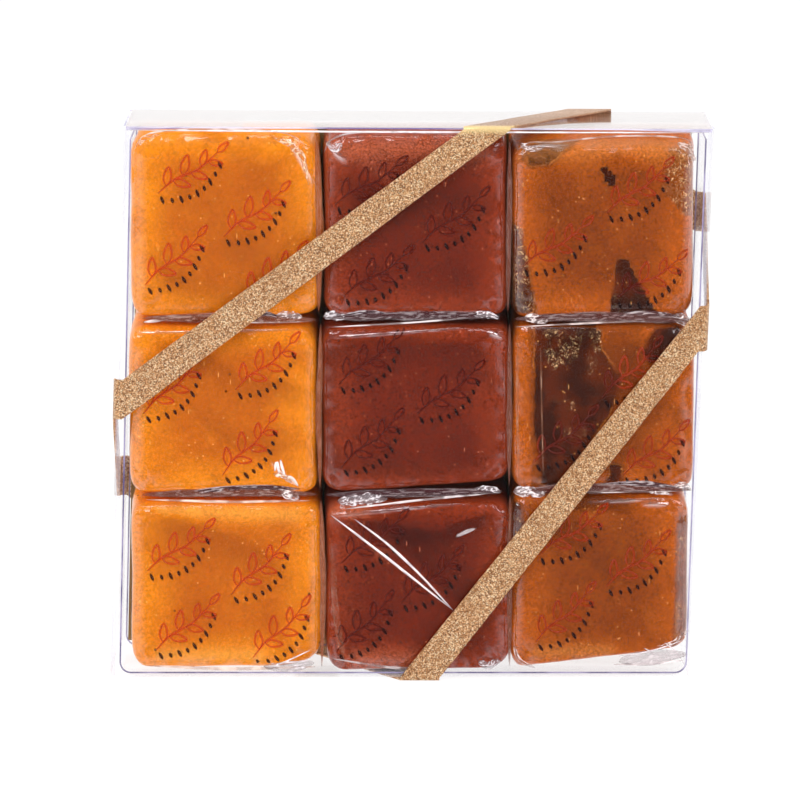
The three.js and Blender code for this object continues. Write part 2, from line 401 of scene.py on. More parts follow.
def makeCamera():
    aim = Vector(camera["aim"])
    lens = bpy.data.cameras.new("camera")
    lens.sensor_width = 36
    lens.lens = camera["focal"]
    lens.clip_start, lens.clip_end = 0.01, 20
    holder = bpy.data.objects.new("camera", lens)
    away = onSphere(0, camera["elevation"], camera["distance"])
    holder.location = (aim + away) * mm
    holder.rotation_euler = (-away).to_track_quat("-Z", "Y").to_euler()
    bpy.context.scene.collection.objects.link(holder)
    bpy.context.scene.camera = holder


def makeStudio():
    scene = bpy.context.scene
    scene.view_settings.view_transform = "Standard"
    scene.view_settings.look = "None"
    world = bpy.data.worlds.new("studio")
    world.use_nodes = True
    # dim in front, bright behind, as before a white backdrop
    tree = world.node_tree
    sky = tree.nodes["Background"]
    direction = tree.nodes.new("ShaderNodeTexCoord")
    split = tree.nodes.new("ShaderNodeSeparateXYZ")
    fade = tree.nodes.new("ShaderNodeMapRange")
    for side in ("Min", "Max"):
        end = side == "Max"
        fade.inputs[f"From {side}"].default_value = studio["fade"][end]
        fade.inputs[f"To {side}"].default_value = studio["world"][end]
    tree.links.new(direction.outputs["Generated"], split.inputs[0])
    tree.links.new(split.outputs["Y"], fade.inputs["Value"])
    tree.links.new(fade.outputs[0], sky.inputs["Strength"])
    sky.inputs["Color"].default_value = (1, 1, 1, 1)
    scene.world = world
    for name, (azimuth, elevation, distance, width, height, watts) in studio["lights"].items():
        data = bpy.data.lights.new(name, "AREA")
        data.shape = "RECTANGLE"
        data.size, data.size_y = width * mm, height * mm
        data.energy = watts
        lamp = bpy.data.objects.new(name, data)
        away = onSphere(azimuth, elevation, distance)
        lamp.location = (Vector(camera["aim"]) + away) * mm
        lamp.rotation_euler = (-away).to_track_quat("-Z", "Y").to_euler()
        scene.collection.objects.link(lamp)
    floor = sheetPlane("studioFloor", (9000, 9000), (0, 0, 0))
    paper = Finish("studioPaper")
    tone = paper.mix(*studio["floor"], paper.noise(paper.place(), 3, 3))
    floor.data.materials.append(paper.end(paper.surface(
        Base_Color=tone, Roughness=0.9,
        Emission_Color=(1, 1, 1, 1), Emission_Strength=studio["floorGlow"])))


makeCamera()
makeStudio()
print("studio ready")


# Clear plastic of the box and the liner

def clearSheet(name, base, rise, tint=(0.95, 0.94, 0.99, 1), power=9.0):
    # glossy clear plastic: almost nothing straight on, more and more at a slant
    sheet = Finish(name)
    gloss = sheet.surface(Base_Color=tint, Metallic=1.0, Roughness=0.06)
    return sheet.end(sheet.seeThrough(gloss, base + rise * sheet.facing() ** power))


def paintedEdgeLight(name, light, dark, share, size=14.0):
    # painted light at the cut edge of a clear sheet, where light gathers: painted highlight and
    # painted dark reflection in pale and dark lilac by turns, with a faint glow
    edge = Finish(name)
    place = edge.place()
    turn = edge.noise(place, size, 2).step(0.42, 0.6)
    tone = edge.mix(light, dark, turn)
    fine = edge.noise(place, 0.8, 2) * 0.3 + 0.85
    skin = edge.surface(Base_Color=tone, Roughness=0.25,
                        Emission_Color=tone, Emission_Strength=0.15)
    return edge.end(edge.seeThrough(skin, fine * share))


boxClear = clearSheet("boxClear", 0.003, 0.32)
# the lid's reflections are tinted pink, a painted reflection of the caramels
lidClear = clearSheet("lidClear", 0.012, 0.9, (0.93, 0.85, 0.83, 1), power=3.2)
linerClear = clearSheet("linerClear", 0.003, 0.12)
# painted highlights and dark reflections at the cut edges of the box and the liner
boxEdgeLight = paintedEdgeLight("boxEdgePaintedLight", colour(226, 220, 242), colour(112, 100, 164), 0.75, 22.0)
linerEdgeLight = paintedEdgeLight("linerEdgePaintedLight", colour(150, 140, 178), colour(84, 72, 120), 0.9, 9.0)
# a faint pale line at the box's folds: partly whitening of the bent plastic, partly painted sheen,
# with a faint glow
foldWhiteningAndSheen = paintedEdgeLight("foldWhiteningAndSheen", colour(240, 238, 250), colour(205, 200, 224), 0.12)


def tipped(p):
    # the upper edge of the box stands a little higher at the left
    half = boxWidth / 2
    near = ramp01(p.z, topZ - box["tipReach"], topZ) * ramp01(-p.x, box["flatEnd"] - half, half)
    return (0, 0, box["tip"] * near)


def makeBoxWalls():
    walls = block("box_walls", (boxWidth, boxDepth, boxHeight), (0, 0, middleZ))
    pick(walls, "FACE", lambda f: f.normal.z > 0.9)
    bpy.ops.mesh.delete(type="ONLY_FACE")
    done(walls)
    pick(walls, "EDGE", lambda e: alongAxis(e, 2))
    bpy.ops.mesh.bevel(offset=box["foldRadius"] * mm, segments=4, affect="EDGES")
    done(walls)
    pick(walls, "EDGE", lambda e: middleOf(e).z < floorZ + 0.1 and not alongAxis(e, 2))
    bpy.ops.mesh.bevel(offset=box["baseRadius"] * mm, segments=2, affect="EDGES")
    done(walls)
    # cut edges get painted edge light; the rounded folds a pale line, partly whitening and partly
    # painted sheen
    for material in (boxClear, boxEdgeLight, foldWhiteningAndSheen):
        walls.data.materials.append(material)
    for face in walls.data.polygons:
        face.material_index = 2 if max(abs(c) for c in face.normal) < 0.99 else 0
    leant(walls, box["lean"])
    finished(walls, "SOLIDIFY", thickness=box["sheet"] * mm, offset=-1,
             material_offset_rim=1, use_even_offset=True)
    moved(walls, tipped)
    smooth(walls, 50)
    dressed(walls, [], "clear_box", "box_body", clear=True)


flaps = {
    "tuck": 14,             # depth of the lid's tuck flap
    "tuckCorner": 6,
    "tuckFold": 0.7,
    "play": 1,              # how far a flap's ends stay from the folds beside them
    "dust": 21,             # reach of a dust flap
    "dustTaper": 4,
}


def makeLid():
    half = boxDepth / 2 - inset
    lid = sheetPlane("box_lid_and_tuck", (boxWidth - 2 * inset, 2 * half), (0, 0, topZ))
    pick(lid, "EDGE", lambda e: middleOf(e).y > half - 0.1)
    bpy.ops.mesh.extrude_region_move(TRANSFORM_OT_translate={"value": (0, 0, -flaps["tuck"] * mm)})
    bpy.ops.transform.resize(value=(1 - 2 * flaps["play"] / boxWidth, 1, 1))
    done(lid)
    pick(lid, "VERT", lambda v: v.co.z < (topZ - flaps["tuck"] / 2) * mm)
    bpy.ops.mesh.bevel(offset=flaps["tuckCorner"] * mm, segments=1, affect="VERTICES")
    done(lid)
    pick(lid, "EDGE", lambda e: alongAxis(e, 0) and middleOf(e).z > topZ - 1
         and middleOf(e).y > half - 0.1)
    bpy.ops.mesh.bevel(offset=flaps["tuckFold"] * mm, segments=3, affect="EDGES")
    done(lid)
    leant(lid, box["lean"])
    sheeted(lid, lidClear, boxEdgeLight)
    smooth(lid, 50)
    moved(lid, tipped)
    dressed(lid, [], "clear_box", "box_lid", "tuck_flap", clear=True)


def makeDustFlap(side, word):
    reach = flaps["dust"]
    root = boxWidth / 2 - inset
    flap = sheetPlane(f"dust_flap_{word}_sheet", (reach, boxDepth - 2 * (inset + flaps["play"])),
                      (side * (root - reach / 2), 0, topZ - inset), cuts=(8, 2))

    def tapered(p):
        narrow = 1 - ramp01(abs(p.x), root - reach, root)
        return (0, -math.copysign(flaps["dustTaper"] * narrow, p.y), 0)
    moved(flap, tapered)
    leant(flap, box["lean"])
    sheeted(flap, lidClear, boxEdgeLight)
    smooth(flap, 40)
    moved(flap, tipped)
    dressed(flap, [], "clear_box", f"dust_flap_{word}", clear=True)


# The liner and the card lean a little less than the box
inner = {
    "lean": 0.028,
    "linerShift": 0.3,
    "linerRadius": 2.2,
    "cardShift": -0.2,
    "cardEdge": 0.2,
}


def innerBlock(node, name, shift):
    # an upright block that fills the CAD node, less its lean
    low, high = (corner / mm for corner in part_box(node))
    size = high - low
    middle = (low + high) / 2
    size.x -= inner["lean"] * size.z
    return block(name, size, (shift, middle.y, middle.z))


def makeLiner():
    liner = innerBlock("clear_liner", "liner_sheet", inner["linerShift"])
    bottom = min(vertex.co.z for vertex in liner.data.vertices) / mm
    pick(liner, "FACE", lambda f: f.normal.z > 0.9 or abs(f.normal.y) > 0.9)
    bpy.ops.mesh.delete(type="FACE")
    done(liner)
    pick(liner, "EDGE", lambda e: alongAxis(e, 1) and middleOf(e).z < bottom + 0.1)
    bpy.ops.mesh.bevel(offset=inner["linerRadius"] * mm, segments=6, affect="EDGES")
    done(liner)
    leant(liner, inner["lean"])
    sheeted(liner, linerClear, linerEdgeLight)
    smooth(liner, 40)
    dressed(liner, [], "clear_box", "clear_liner", clear=True)


makeBoxWalls()
makeLid()
makeDustFlap(-1, "left")
makeDustFlap(1, "right")
makeLiner()
print("clear box ready")


# Card

def makeCard():
    card = innerBlock("backing_card", "gold_card_board", inner["cardShift"])
    pick(card, "EDGE", lambda e: True)
    bpy.ops.mesh.bevel(offset=inner["cardEdge"] * mm, segments=2, affect="EDGES")
    done(card)
    pick(card, "FACE", lambda f: abs(f.normal.y) > 0.9)
    bpy.ops.mesh.subdivide(number_cuts=12)
    done(card)
    leant(card, inner["lean"])
    smooth(card, 40)
    board = Finish("goldBoard")
    place = board.place()
    fibre = board.noise(board.stretched(place, (1, 1, 0.12)), 0.5, 4, 0.6)
    cloud = board.noise(place, 9, 3)
    tone = board.mix(colour(104, 76, 38), colour(150, 116, 62), fibre)
    tone = board.mix(tone, colour(84, 58, 28), cloud.step(0.4, 0.7) * 0.25)
    skin = board.surface(Base_Color=tone, Metallic=0.35, Roughness=0.42 + 0.2 * fibre,
                         Normal=board.bump(fibre, 0.4, 0.06))
    dressed(card, [board.end(skin)], "gold_card", "backing_card")


makeCard()
print("card ready")


# Ribbon

band = {
    "edge": 0.1,
    "cuts": 40,             # along each straight run
    "sway": 0.07,           # how far its edges are from straight
    "grain": 0.16,
    "stops": [
        (0.0, (84, 44, 16)), (0.3, (166, 116, 70)), (0.7, (226, 180, 130)), (1.0, (255, 252, 222)),
    ],
    "cloud": (168, 122, 78),
    "shade": (1.0, 0.88, 0.8, 1),
    "top": (176, 138, 112),         # painted shade where it lies on the lid
    "fold": (255, 226, 160),        # painted highlight where it turns over the lid's front edge
}


def ribbonFinish():
    gold = Finish("goldWeave")
    place = gold.place()
    grain = gold.crumbs(place, band["grain"])
    cloud = gold.noise(place, 7, 2)
    stops = [(at, colour(*tint)) for at, tint in band["stops"]]
    tone = gold.node("ShaderNodeValToRGB", {"stops": stops}, {"Fac": grain})
    tone = gold.mix(tone, colour(*band["cloud"]), cloud.step(0.45, 0.75) * 0.25)
    tone = gold.mix(tone, band["shade"], 1.0, "MULTIPLY")
    deep, up = gold.parts(place)[1:]
    # painted shade on the run that lies on the lid, and a painted highlight where it turns over the
    # front edge
    onTop = (up / mm).step(topZ - 1.2, topZ + 0.2)
    tone = gold.mix(tone, colour(*band["top"]), onTop * (deep / mm).step(-12.6, -11) * 0.7)
    tone = gold.mix(tone, colour(*band["fold"]), onTop * (deep / mm).step(-12.4, -13.6) * 0.8)
    # the runs behind the clear box get little light of their own, so they are painted with a faint
    # glow in their own colour
    glow = gold.mix((0, 0, 0, 1), tone, (deep / mm).step(0, 8))
    return gold.end(gold.surface(
        Base_Color=tone, Metallic=0.3, Roughness=0.5 - 0.2 * grain, Emission_Color=glow,
        Emission_Strength=0.15, Normal=gold.bump(grain, 0.7, 0.08)))


def makeRibbon():
    ribbon = nodeCopy("ribbon", "gold_ribbon_band")
    finished(ribbon, "BEVEL", width=band["edge"] * mm, segments=2,
             limit_method="ANGLE", angle_limit=math.radians(60))
    pick(ribbon, "EDGE", lambda e: (e.verts[1].co - e.verts[0].co).length > 20 * mm)
    bpy.ops.mesh.subdivide(number_cuts=band["cuts"])
    done(ribbon)

    def sway(p):
        # the edges of a real ribbon are never quite straight
        q = p * 0.14
        return (band["sway"] * noise.noise(q), 0, band["sway"] * noise.noise(q + Vector((9, 3, 5))))
    moved(ribbon, sway)
    smooth(ribbon, 50)
    dressed(ribbon, [ribbonFinish()], "gold_ribbon", "ribbon")


makeRibbon()
print("ribbon ready")


# Caramels

# What is particular about each piece: how far its face swells to the left, right, below and above,
# how pale its film is at the left and right, and creases of the film, which are given from one end
# to the other as shares of the face's width and height, with their own width and height in mm.
caramels = {
    "amber_top": {
        "haze": (0.2, 0.1),
        "swell": (0.9, 0.2, 0.5, 0.5),
        "creases": [((0.84, 0.97), (0.97, 0.72), 0.4, 0.35)],
    },
    "amber_middle": {
        "haze": (0.2, 0.1),
        "swell": (0.5, 0.0, 0.5, -0.6),
        "creases": [((0.05, 0.93), (0.97, 0.95), 0.22, 0.22),
                    ((0.76, 0.18), (0.88, 0.05), 0.35, 0.35)],
    },
    "amber_bottom": {
        "haze": (0.2, 0.15),
        "swell": (0.2, 0.3, 0.6, -0.4),
        "creases": [((0.05, 0.95), (0.92, 0.96), 0.22, 0.22)],
    },
    "cocoa_top": {
        "swell": (0.0, 0.2, 0.5, 0.5),
        "creases": [((0.05, 0.93), (0.12, 0.86), 0.5, 0.4)],
    },
    "cocoa_middle": {
        "swell": (0.0, 0.3, 0.6, -0.6),
        "creases": [((0.05, 0.9), (0.96, 0.97), 0.22, 0.25), ((0.9, 0.93), (0.97, 0.9), 0.5, 0.4)],
    },
    "cocoa_bottom": {
        "swell": (0.0, 0.6, 0.8, -0.9),
        "creases": [((0.05, 0.88), (0.97, 0.97), 0.22, 0.22)],
    },
    "marbled_top": {
        "haze": (0.3, 0.3),
        "swell": (0.0, 0.0, 0.5, 0.1),
        "creases": [((0.04, 0.95), (0.3, 0.96), 0.25, 0.25)],
    },
    "marbled_middle": {
        "swell": (0.0, 0.9, 0.8, -0.5),
        "creases": [((0.03, 0.95), (0.95, 0.97), 0.25, 0.25)],
    },
    "marbled_bottom": {
        "haze": (0.2, 0.3),
        "swell": (0.2, 0.9, 0.6, -0.3),
        "creases": [((0.45, 0.94), (0.9, 0.96), 0.25, 0.25),
                    ((0.75, 0.93), (0.9, 0.93), 0.4, 0.35)],
    },
}
candyShape = {
    "voxel": 0.7,
    "soften": 6,
    # waves of the face, smaller ones and waves of its edges: their height, and how many for each mm
    "wave": (0.12, 0.16),
    "ripple": (0.03, 0.9),
    "edgeWave": (0.22, 0.12),
    "sink": 0.02,
    "paintDepth": 6,       # how far behind the face the marbling and the painted shade go
}
cells = {name: [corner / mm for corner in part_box(f"caramel_{name}")] for name in caramels}


def within(name, p):
    # a point as shares of the piece's width, depth and height
    low, high = cells[name]
    return Vector(((p.x - low.x) / (high.x - low.x), (p.y - low.y) / (high.y - low.y),
                   (p.z - low.z) / (high.z - low.z)))


def candyCore(candy, place, reach):
    # painted light: 0 at the edges of the face, where light gets in and the colour is painted
    # lighter, and 1 in the middle of the piece
    across, _, up = candy.parts(candy.attribute("spot", "Vector"))
    wander = (candy.noise(place, 11, 2) - 0.5) * 0.22
    near = (across.least(1 - across) * 0.9).least(up.least((1 - up) * 1.25)) + wander
    return near.step(0.03, reach)


# Tones of the three kinds. Rim and core are painted light: the face is painted lighter at its
# edges, where light gets in, than in its middle. Layers lie over each other in this order: which
# pattern, its colour, the values between which it appears, and its strength. Specks: colour,
# spacing in mm, their edge, how large the patches with specks are, the values between which a patch
# appears, and strength; the pale specks are painted glints of the film. Glint and shade are the
# colours of painted highlights and painted shade.
candyLooks = {
    "amber": {
        "rim": (242, 146, 24), "core": (200, 104, 14), "coreReach": 0.27, "cloud": 7,
        "layers": [
            ("cloud", (224, 126, 26), 0.52, 0.74, 0.5),
            ("cloud", (176, 86, 14), 0.48, 0.3, 0.4),
            ("fine", (252, 180, 84), 0.52, 0.72, 0.28),
            ("fine", (172, 80, 12), 0.48, 0.32, 0.25),
        ],
        "specks": [
            ((255, 208, 140), 1.5, (0.13, 0.05), 4, (0.5, 0.6), 0.75),
            ((52, 24, 10), 4.7, (0.075, 0.045), 11, (0.46, 0.5), 0.9),
        ],
        "glint": (255, 196, 120), "shade": (158, 78, 18), "grain": 0.45,
        "tint": (1.01, 0.92, 0.59, 1),
    },
    "cocoa": {
        "rim": (144, 66, 34), "core": (108, 40, 20), "coreReach": 0.24, "cloud": 6,
        "layers": [
            ("cloud", (128, 50, 22), 0.5, 0.72, 0.6),
            ("cloud", (92, 36, 22), 0.46, 0.3, 0.4),
            ("fine", (166, 92, 64), 0.53, 0.72, 0.28),
            ("fine", (80, 28, 14), 0.47, 0.32, 0.25),
        ],
        "specks": [
            ((232, 170, 128), 1.8, (0.11, 0.05), 4, (0.48, 0.56), 0.75),
            ((30, 12, 10), 3.9, (0.07, 0.04), 9, (0.5, 0.55), 0.7),
        ],
        "glint": (216, 146, 112), "shade": (70, 24, 14), "grain": 1.05,
        "tint": (0.99, 0.65, 0.52, 1),
    },
    "marbled": {
        "rim": (190, 98, 26), "core": (146, 70, 16), "coreReach": 0.26, "cloud": 7,
        "layers": [
            ("cloud", (182, 98, 30), 0.52, 0.75, 0.5),
            ("cloud", (122, 56, 14), 0.46, 0.3, 0.4),
            ("fine", (218, 138, 66), 0.53, 0.72, 0.22),
        ],
        "specks": [((244, 192, 120), 1.8, (0.11, 0.05), 4, (0.48, 0.56), 0.7)],
        "glint": (240, 176, 116), "shade": (104, 46, 14), "grain": 0.85,
        "tint": (0.94, 0.81, 0.51, 1),
    },
}
marble = {
    "halo": (124, 62, 22),
    "heart": ((40, 10, 6), (90, 34, 16)),
    "border": (222, 150, 90),
    "sparkle": (255, 224, 196),
}


def overMarble(candy, place, tone, cloud):
    # dark, half clear patches: a brown halo, a dark heart and a thin pale border here and there
    crumb = candy.noise(place, 0.7, 3, 0.7)
    dark, bright = candy.attribute("marble"), candy.attribute("sparkle")
    ragged = dark + (crumb - 0.5) * 0.22
    tone = candy.mix(tone, colour(*marble["halo"]), ragged.step(0.1, 0.42) * 0.8)
    deepest, deep = (colour(*tint) for tint in marble["heart"])
    heart = candy.mix(deepest, deep, candy.noise(place, 5, 3, 0.6).step(0.38, 0.62))
    tone = candy.mix(tone, heart, ragged.step(0.42, 0.7) * 0.92)
    border = ragged.step(0.4, 0.46) * ragged.step(0.56, 0.5) * cloud.step(0.48, 0.6)
    tone = candy.mix(tone, colour(*marble["border"]), border * 0.3)
    # painted glints: sparkles of crystals in clusters where the marbling is crystalline
    flakes = candy.noise(candy.stretched(place, (1, 1, 0.7)), 0.42, 2, 0.7, 1.5)
    clusters = candy.noise(place, 2.6, 2, 0.6) + 0.3 * bright
    sparkle = flakes.step(0.55, 0.64) * bright.step(0.05, 0.5) * clusters.step(0.6, 0.82)
    return candy.mix(tone, colour(*marble["sparkle"]), sparkle * 0.85), crumb * dark


def candyFinish(kind):
    look = candyLooks[kind]
    candy = Finish(f"{kind}Caramel")
    place = candy.place()
    patterns = {
        "cloud": candy.noise(place, look["cloud"], 3, 0.6),
        "fine": candy.noise(place, 0.42, 3, 0.7),
    }
    # painted light: lighter at the rim of the face, where light gets in, darker in its core
    core = candyCore(candy, place, look["coreReach"])
    tone = candy.mix(colour(*look["rim"]), colour(*look["core"]), core)
    for pattern, tint, low, high, strength in look["layers"]:
        tone = candy.mix(tone, colour(*tint), patterns[pattern].step(low, high) * strength)
    # specks: the pale ones are painted glints of the film, the dark ones the caramel's own
    for tint, spacing, edge, patch, shown, strength in look["specks"]:
        speck = candy.specks(place, spacing).step(*edge) * candy.noise(place, patch, 1).step(*shown)
        tone = candy.mix(tone, colour(*tint), speck * strength)
    relief = patterns["fine"] * 0.5
    if kind == "marbled":
        tone, crumbs = overMarble(candy, place, tone, patterns["cloud"])
        relief = relief + crumbs
    glint, shade = colour(*look["glint"]), colour(*look["shade"])
    # painted shade along the folds of the film, and painted light where the value is below 0
    hollow = candy.attribute("hollow")
    tone = candy.mix(tone, shade, hollow)
    tone = candy.mix(tone, glint, 0 - hollow)
    # a fine grain in the caramel's colour, then painted glints of the film: small bright flecks and
    # short scratches over the caramel's own colour
    grit = candy.crumbs(place, 0.22)
    tone = candy.mix(tone, 1 - look["grain"] / 2 + look["grain"] * grit, 1.0, "MULTIPLY")
    near = candy.noise(place, 5, 2)
    fleckGlint = candy.specks(place, 1.5).step(0.15, 0.07) * near.step(0.48, 0.54)
    slanted = candy.stretched(place, (0.9, 1, 0.14), (0, 0.8, 0))
    scratchGlint = candy.specks(slanted, 1.1).step(0.09, 0.04) * near.step(0.52, 0.44)
    tone = candy.mix(tone, glint, (fleckGlint * 0.7).most(scratchGlint * 0.9))
    tone = candy.mix(tone, look["tint"], 1.0, "MULTIPLY")
    return candy.end(candy.surface(
        Base_Color=tone, Roughness=0.42, Specular_IOR_Level=0.05, Subsurface_Weight=0.2,
        Subsurface_Radius=(1.0, 0.4, 0.18), Subsurface_Scale=2.5 * mm,
        Normal=candy.bump(relief, 0.25, 0.12)))


def wrapFilm():
    wrap = Finish("wrapFilm")
    gloss = wrap.surface(Base_Color=(0.98, 0.96, 1.0, 1), Metallic=1.0, Roughness=0.07)
    upward = wrap.parts(wrap.node("ShaderNodeNewGeometry", output="Normal"))[2]
    rim = 0.6 * wrap.facing() ** 5 * upward.step(0.95, 0.4)
    return wrap.end(wrap.seeThrough(gloss, 0.003 + 0.5 * wrap.attribute("fold") + rim))


candyFinishes = {kind: candyFinish(kind) for kind in candyLooks}
filmFinish = wrapFilm()

# Dark marbling of the right column: an outline of points (x, z), how softly it fades in mm, how
# strong it is and how much it sparkles with painted glints.
marbling = {
    "marbled_top": [
        ([(20.4, 99.6), (25.0, 100.6), (30.8, 100.2), (27.8, 97.6), (25.6, 96.2), (22.3, 95.5),
          (20.6, 97)], 0.9, 0.62, 0.4),
        ([(47.3, 99.3), (52.2, 99.6), (52.6, 87.0), (50.5, 86.5), (48.4, 89.1), (46.6, 90.8),
          (46.4, 93.8)], 0.5, 0.4, 1.0),
        ([(18.6, 85.8), (20.6, 84.3), (22.1, 77.9), (23.6, 68.6), (18.4, 68.4)], 0.4, 0.62, 0.9),
        ([(38.0, 78.4), (38.8, 79.1), (40.1, 78.8), (40.8, 77.3), (43.2, 72.9), (45.8, 68.2),
          (36.8, 68.2), (37.5, 72.9)], 0.25, 1.0, 0.25),
        ([(35.1, 95.8), (36.2, 96.0), (37.6, 94.4), (38.0, 92.4), (37.0, 92.0), (35.6, 93.6)],
         0.2, 1.0, 0),
    ],
    "marbled_middle": [
        ([(23.2, 66.8), (34.6, 66.8), (35.4, 62), (39.4, 56.8), (37, 50), (32, 42.4), (33.7, 36.6),
          (24.3, 36.4), (22.8, 50.6)], 1.6, 0.95, 0.12),
        ([(24.6, 65.6), (32.4, 66.0), (31.0, 60.2), (28.0, 57.8), (25.2, 59.4)], 0.6, 0.6, 0.75),
        ([(33.4, 66.0), (35.6, 65.6), (34.6, 58.4), (33.2, 57.4), (32.8, 61.0)], 0.4, 0.7, 0.7),
        ([(26, 53.6), (30.4, 52.6), (31.6, 50.0), (27.2, 51.4)], 0.5, 0.9, 0.45),
        ([(28, 47.6), (32.4, 47.2), (32.6, 45.4), (28.4, 45.8)], 0.5, 0.9, 0.55),
        ([(34.6, 67), (43.6, 67), (44, 62), (41, 56), (35, 56)], 2.2, 0.32, 0),
        ([(22.0, 67), (25, 67), (25, 36), (22.6, 36)], 1.4, 0.5, 0),
        ([(42.7, 61.5), (45.3, 66.4), (50.4, 66.6), (49.5, 63.0), (44.4, 58.7)], 1.1, 0.9, 0.1),
        ([(36.9, 41.0), (39.6, 40.4), (39.6, 37.0), (36.2, 36.8)], 0.8, 0.75, 0.1),
    ],
    "marbled_bottom": [
        ([(49.6, 31), (52.4, 31), (51.8, 8), (48.8, 5), (49.3, 18)], 0.5, 0.5, 0.35),
        ([(18.6, 34.6), (21.2, 33), (20.6, 20), (18.6, 17)], 0.7, 0.7, 0.4),
        ([(28, 34), (43, 35), (42, 31.8), (30, 31.2)], 1.5, 0.4, 0.1),
    ],
}

# Painted shade of the wrapped faces along the folds of the film: a path of points (x, z), how far
# the shade reaches above and below it in mm, and its strength, which is below 0 for a place painted
# lighter
paintedShades = {
    "amber_top": [
        ([(-31, 97), (-24, 90), (-19.4, 80)], 4.5, 2.5, 0.25),
        ([(-44, 76), (-33, 71.6), (-22, 75)], 4, 2.5, 0.4),
        ([(-46, 79), (-40, 71)], 1.6, 3.0, 0.2),
        ([(-40, 91), (-30, 82)], 5, 5, 0.25),
        ([(-32, 81), (-24, 79)], 3, 3, 0.3),
    ],
    "amber_middle": [
        ([(-37, 60.4), (-31, 56.6), (-22, 55.4)], 0.9, 3.6, 0.5),
        ([(-38, 48.5), (-31.5, 43.8), (-24.5, 43.2)], 3.4, 0.9, 0.4),
    ],
    "amber_bottom": [
        ([(-43.6, 30.2), (-36.5, 27.8), (-31.1, 25.8), (-27.0, 24.0)], 0.8, 4.6, 0.5),
        ([(-46.0, 26), (-40, 15)], 4, 4, 0.1),
        ([(-46, 31.8), (-34, 31.4), (-21, 31)], 1.6, 1.4, -0.3),
        ([(-46, 4.5), (-28, 4.5)], 1.5, 1.5, -0.3),
    ],
    "cocoa_top": [
        ([(-10, 93), (-2, 88.5), (12, 90)], 2.4, 4.0, 0.45),
        ([(2, 79), (10, 74)], 3.0, 3.0, 0.2),
        ([(-14, 99.2), (0, 99.8), (12, 99.4)], 1.8, 2.6, -0.35),
        ([(-8, 94), (-5, 92.4)], 3, 3, -0.2),
    ],
    "cocoa_middle": [
        ([(-13, 62.4), (-2, 63.6), (12, 62)], 1.2, 4.0, 0.4),
        ([(-12, 39.5), (2, 38.8), (13, 41)], 3.2, 1.2, 0.35),
        ([(-15.5, 60), (-15.5, 42)], 2.8, 2.8, 0.4),
        ([(16.5, 56), (16.5, 42)], 2.5, 2.5, 0.2),
    ],
    "cocoa_bottom": [
        ([(-9.4, 29.8), (-1, 28.4), (5.4, 27.5), (8.4, 28.6), (12.6, 30.4)], 0.6, 3.4, 0.75),
        ([(-2, 25.6), (4, 20.4), (9.0, 15)], 5.0, 0.8, 0.55),
        ([(-12.6, 20), (-9, 10)], 3, 3, 0.2),
        ([(-14.5, 31.6), (-9, 31.6)], 1.5, 2.5, -0.4),
        ([(-9, 27.5), (-5, 24.5)], 2, 2, -0.25),
        ([(-9, 3.6), (0, 3.6)], 2, 2, -0.3),
    ],
    "marbled_top": [
        ([(26, 90), (33, 84), (35, 76)], 4.0, 4.0, 0.3),
        ([(40, 96), (44, 90)], 2, 3, 0.15),
        ([(22, 98.8), (36, 99.4), (50, 99)], 1.5, 2.4, -0.2),
    ],
    "marbled_middle": [
        ([(41, 62), (44, 54), (50, 50)], 1.4, 3.4, 0.35),
        ([(35.4, 58), (40, 54)], 3, 3, 0.3),
    ],
    "marbled_bottom": [
        ([(22.5, 30.5), (31, 27), (37, 20)], 3.2, 1.6, 0.45),
        ([(33.5, 34.6), (38, 33.2)], 1.5, 2.5, 0.6),
        ([(40, 30), (44, 16)], 2.5, 2.5, 0.2),
        ([(24, 5), (37, 5)], 1.5, 1.5, -0.25),
    ],
}


def fromPath(points, x, z):
    # distance to the nearest place of a path, and whether the point is above it when the path
    # runs to the right
    nearest, above = math.inf, False
    for (ax, az), (bx, bz) in zip(points, points[1:]):
        dx, dz = bx - ax, bz - az
        t = min(max(((x - ax) * dx + (z - az) * dz) / (dx * dx + dz * dz), 0), 1)
        away = math.hypot(x - ax - t * dx, z - az - t * dz)
        if away < nearest:
            nearest, above = away, dx * (z - az) > dz * (x - ax)
    return nearest, above


def depthIn(outline, x, z):
    # how deep a point lies inside an outline, below 0 when it is outside
    inside = False
    for (ax, az), (bx, bz) in zip(outline, outline[1:] + outline[:1]):
        if (az > z) != (bz > z) and x < ax + (z - az) * (bx - ax) / (bz - az):
            inside = not inside
    reach = fromPath(outline + outline[:1], x, z)[0]
    return reach if inside else -reach


def marbleAt(name, p):
    # how dark and how sparkling the caramel is there, both from 0 to 1
    dark, sparkle = 0, 0
    ragged = 0.5 * noise.noise(p * 0.4) + 0.3 * noise.noise(p * 1.2)
    for outline, soft, strong, bright in marbling.get(name, []):
        near = ramp01(depthIn(outline, p.x, p.z) + ragged * min(1, 1.2 * soft), -soft, soft)
        dark, sparkle = max(dark, strong * near), max(sparkle, bright * near)
    return dark, sparkle


def paintedShadeAt(name, p):
    shade = 0
    for path, over, under, strong in paintedShades[name]:
        away, above = fromPath(path, p.x, p.z)
        shade += strong * math.exp(-(away / (over if above else under)) ** 2)
    return shade


def addShares(piece, name):
    # where each vertex lies in its piece, and the marbling and the painted shade and light, for the
    # materials
    piece.data.attributes.new("spot", "FLOAT_VECTOR", "POINT")
    darks, sparkles, shades = marks(piece, "marble", "sparkle", "hollow")
    spots = piece.data.attributes["spot"].data
    for k, vertex in enumerate(piece.data.vertices):
        p = vertex.co / mm
        spots[k].vector = within(name, p)
        if p.y < cells[name][0].y + candyShape["paintDepth"]:
            darks[k].value, sparkles[k].value = marbleAt(name, p)
            shades[k].value = paintedShadeAt(name, p)


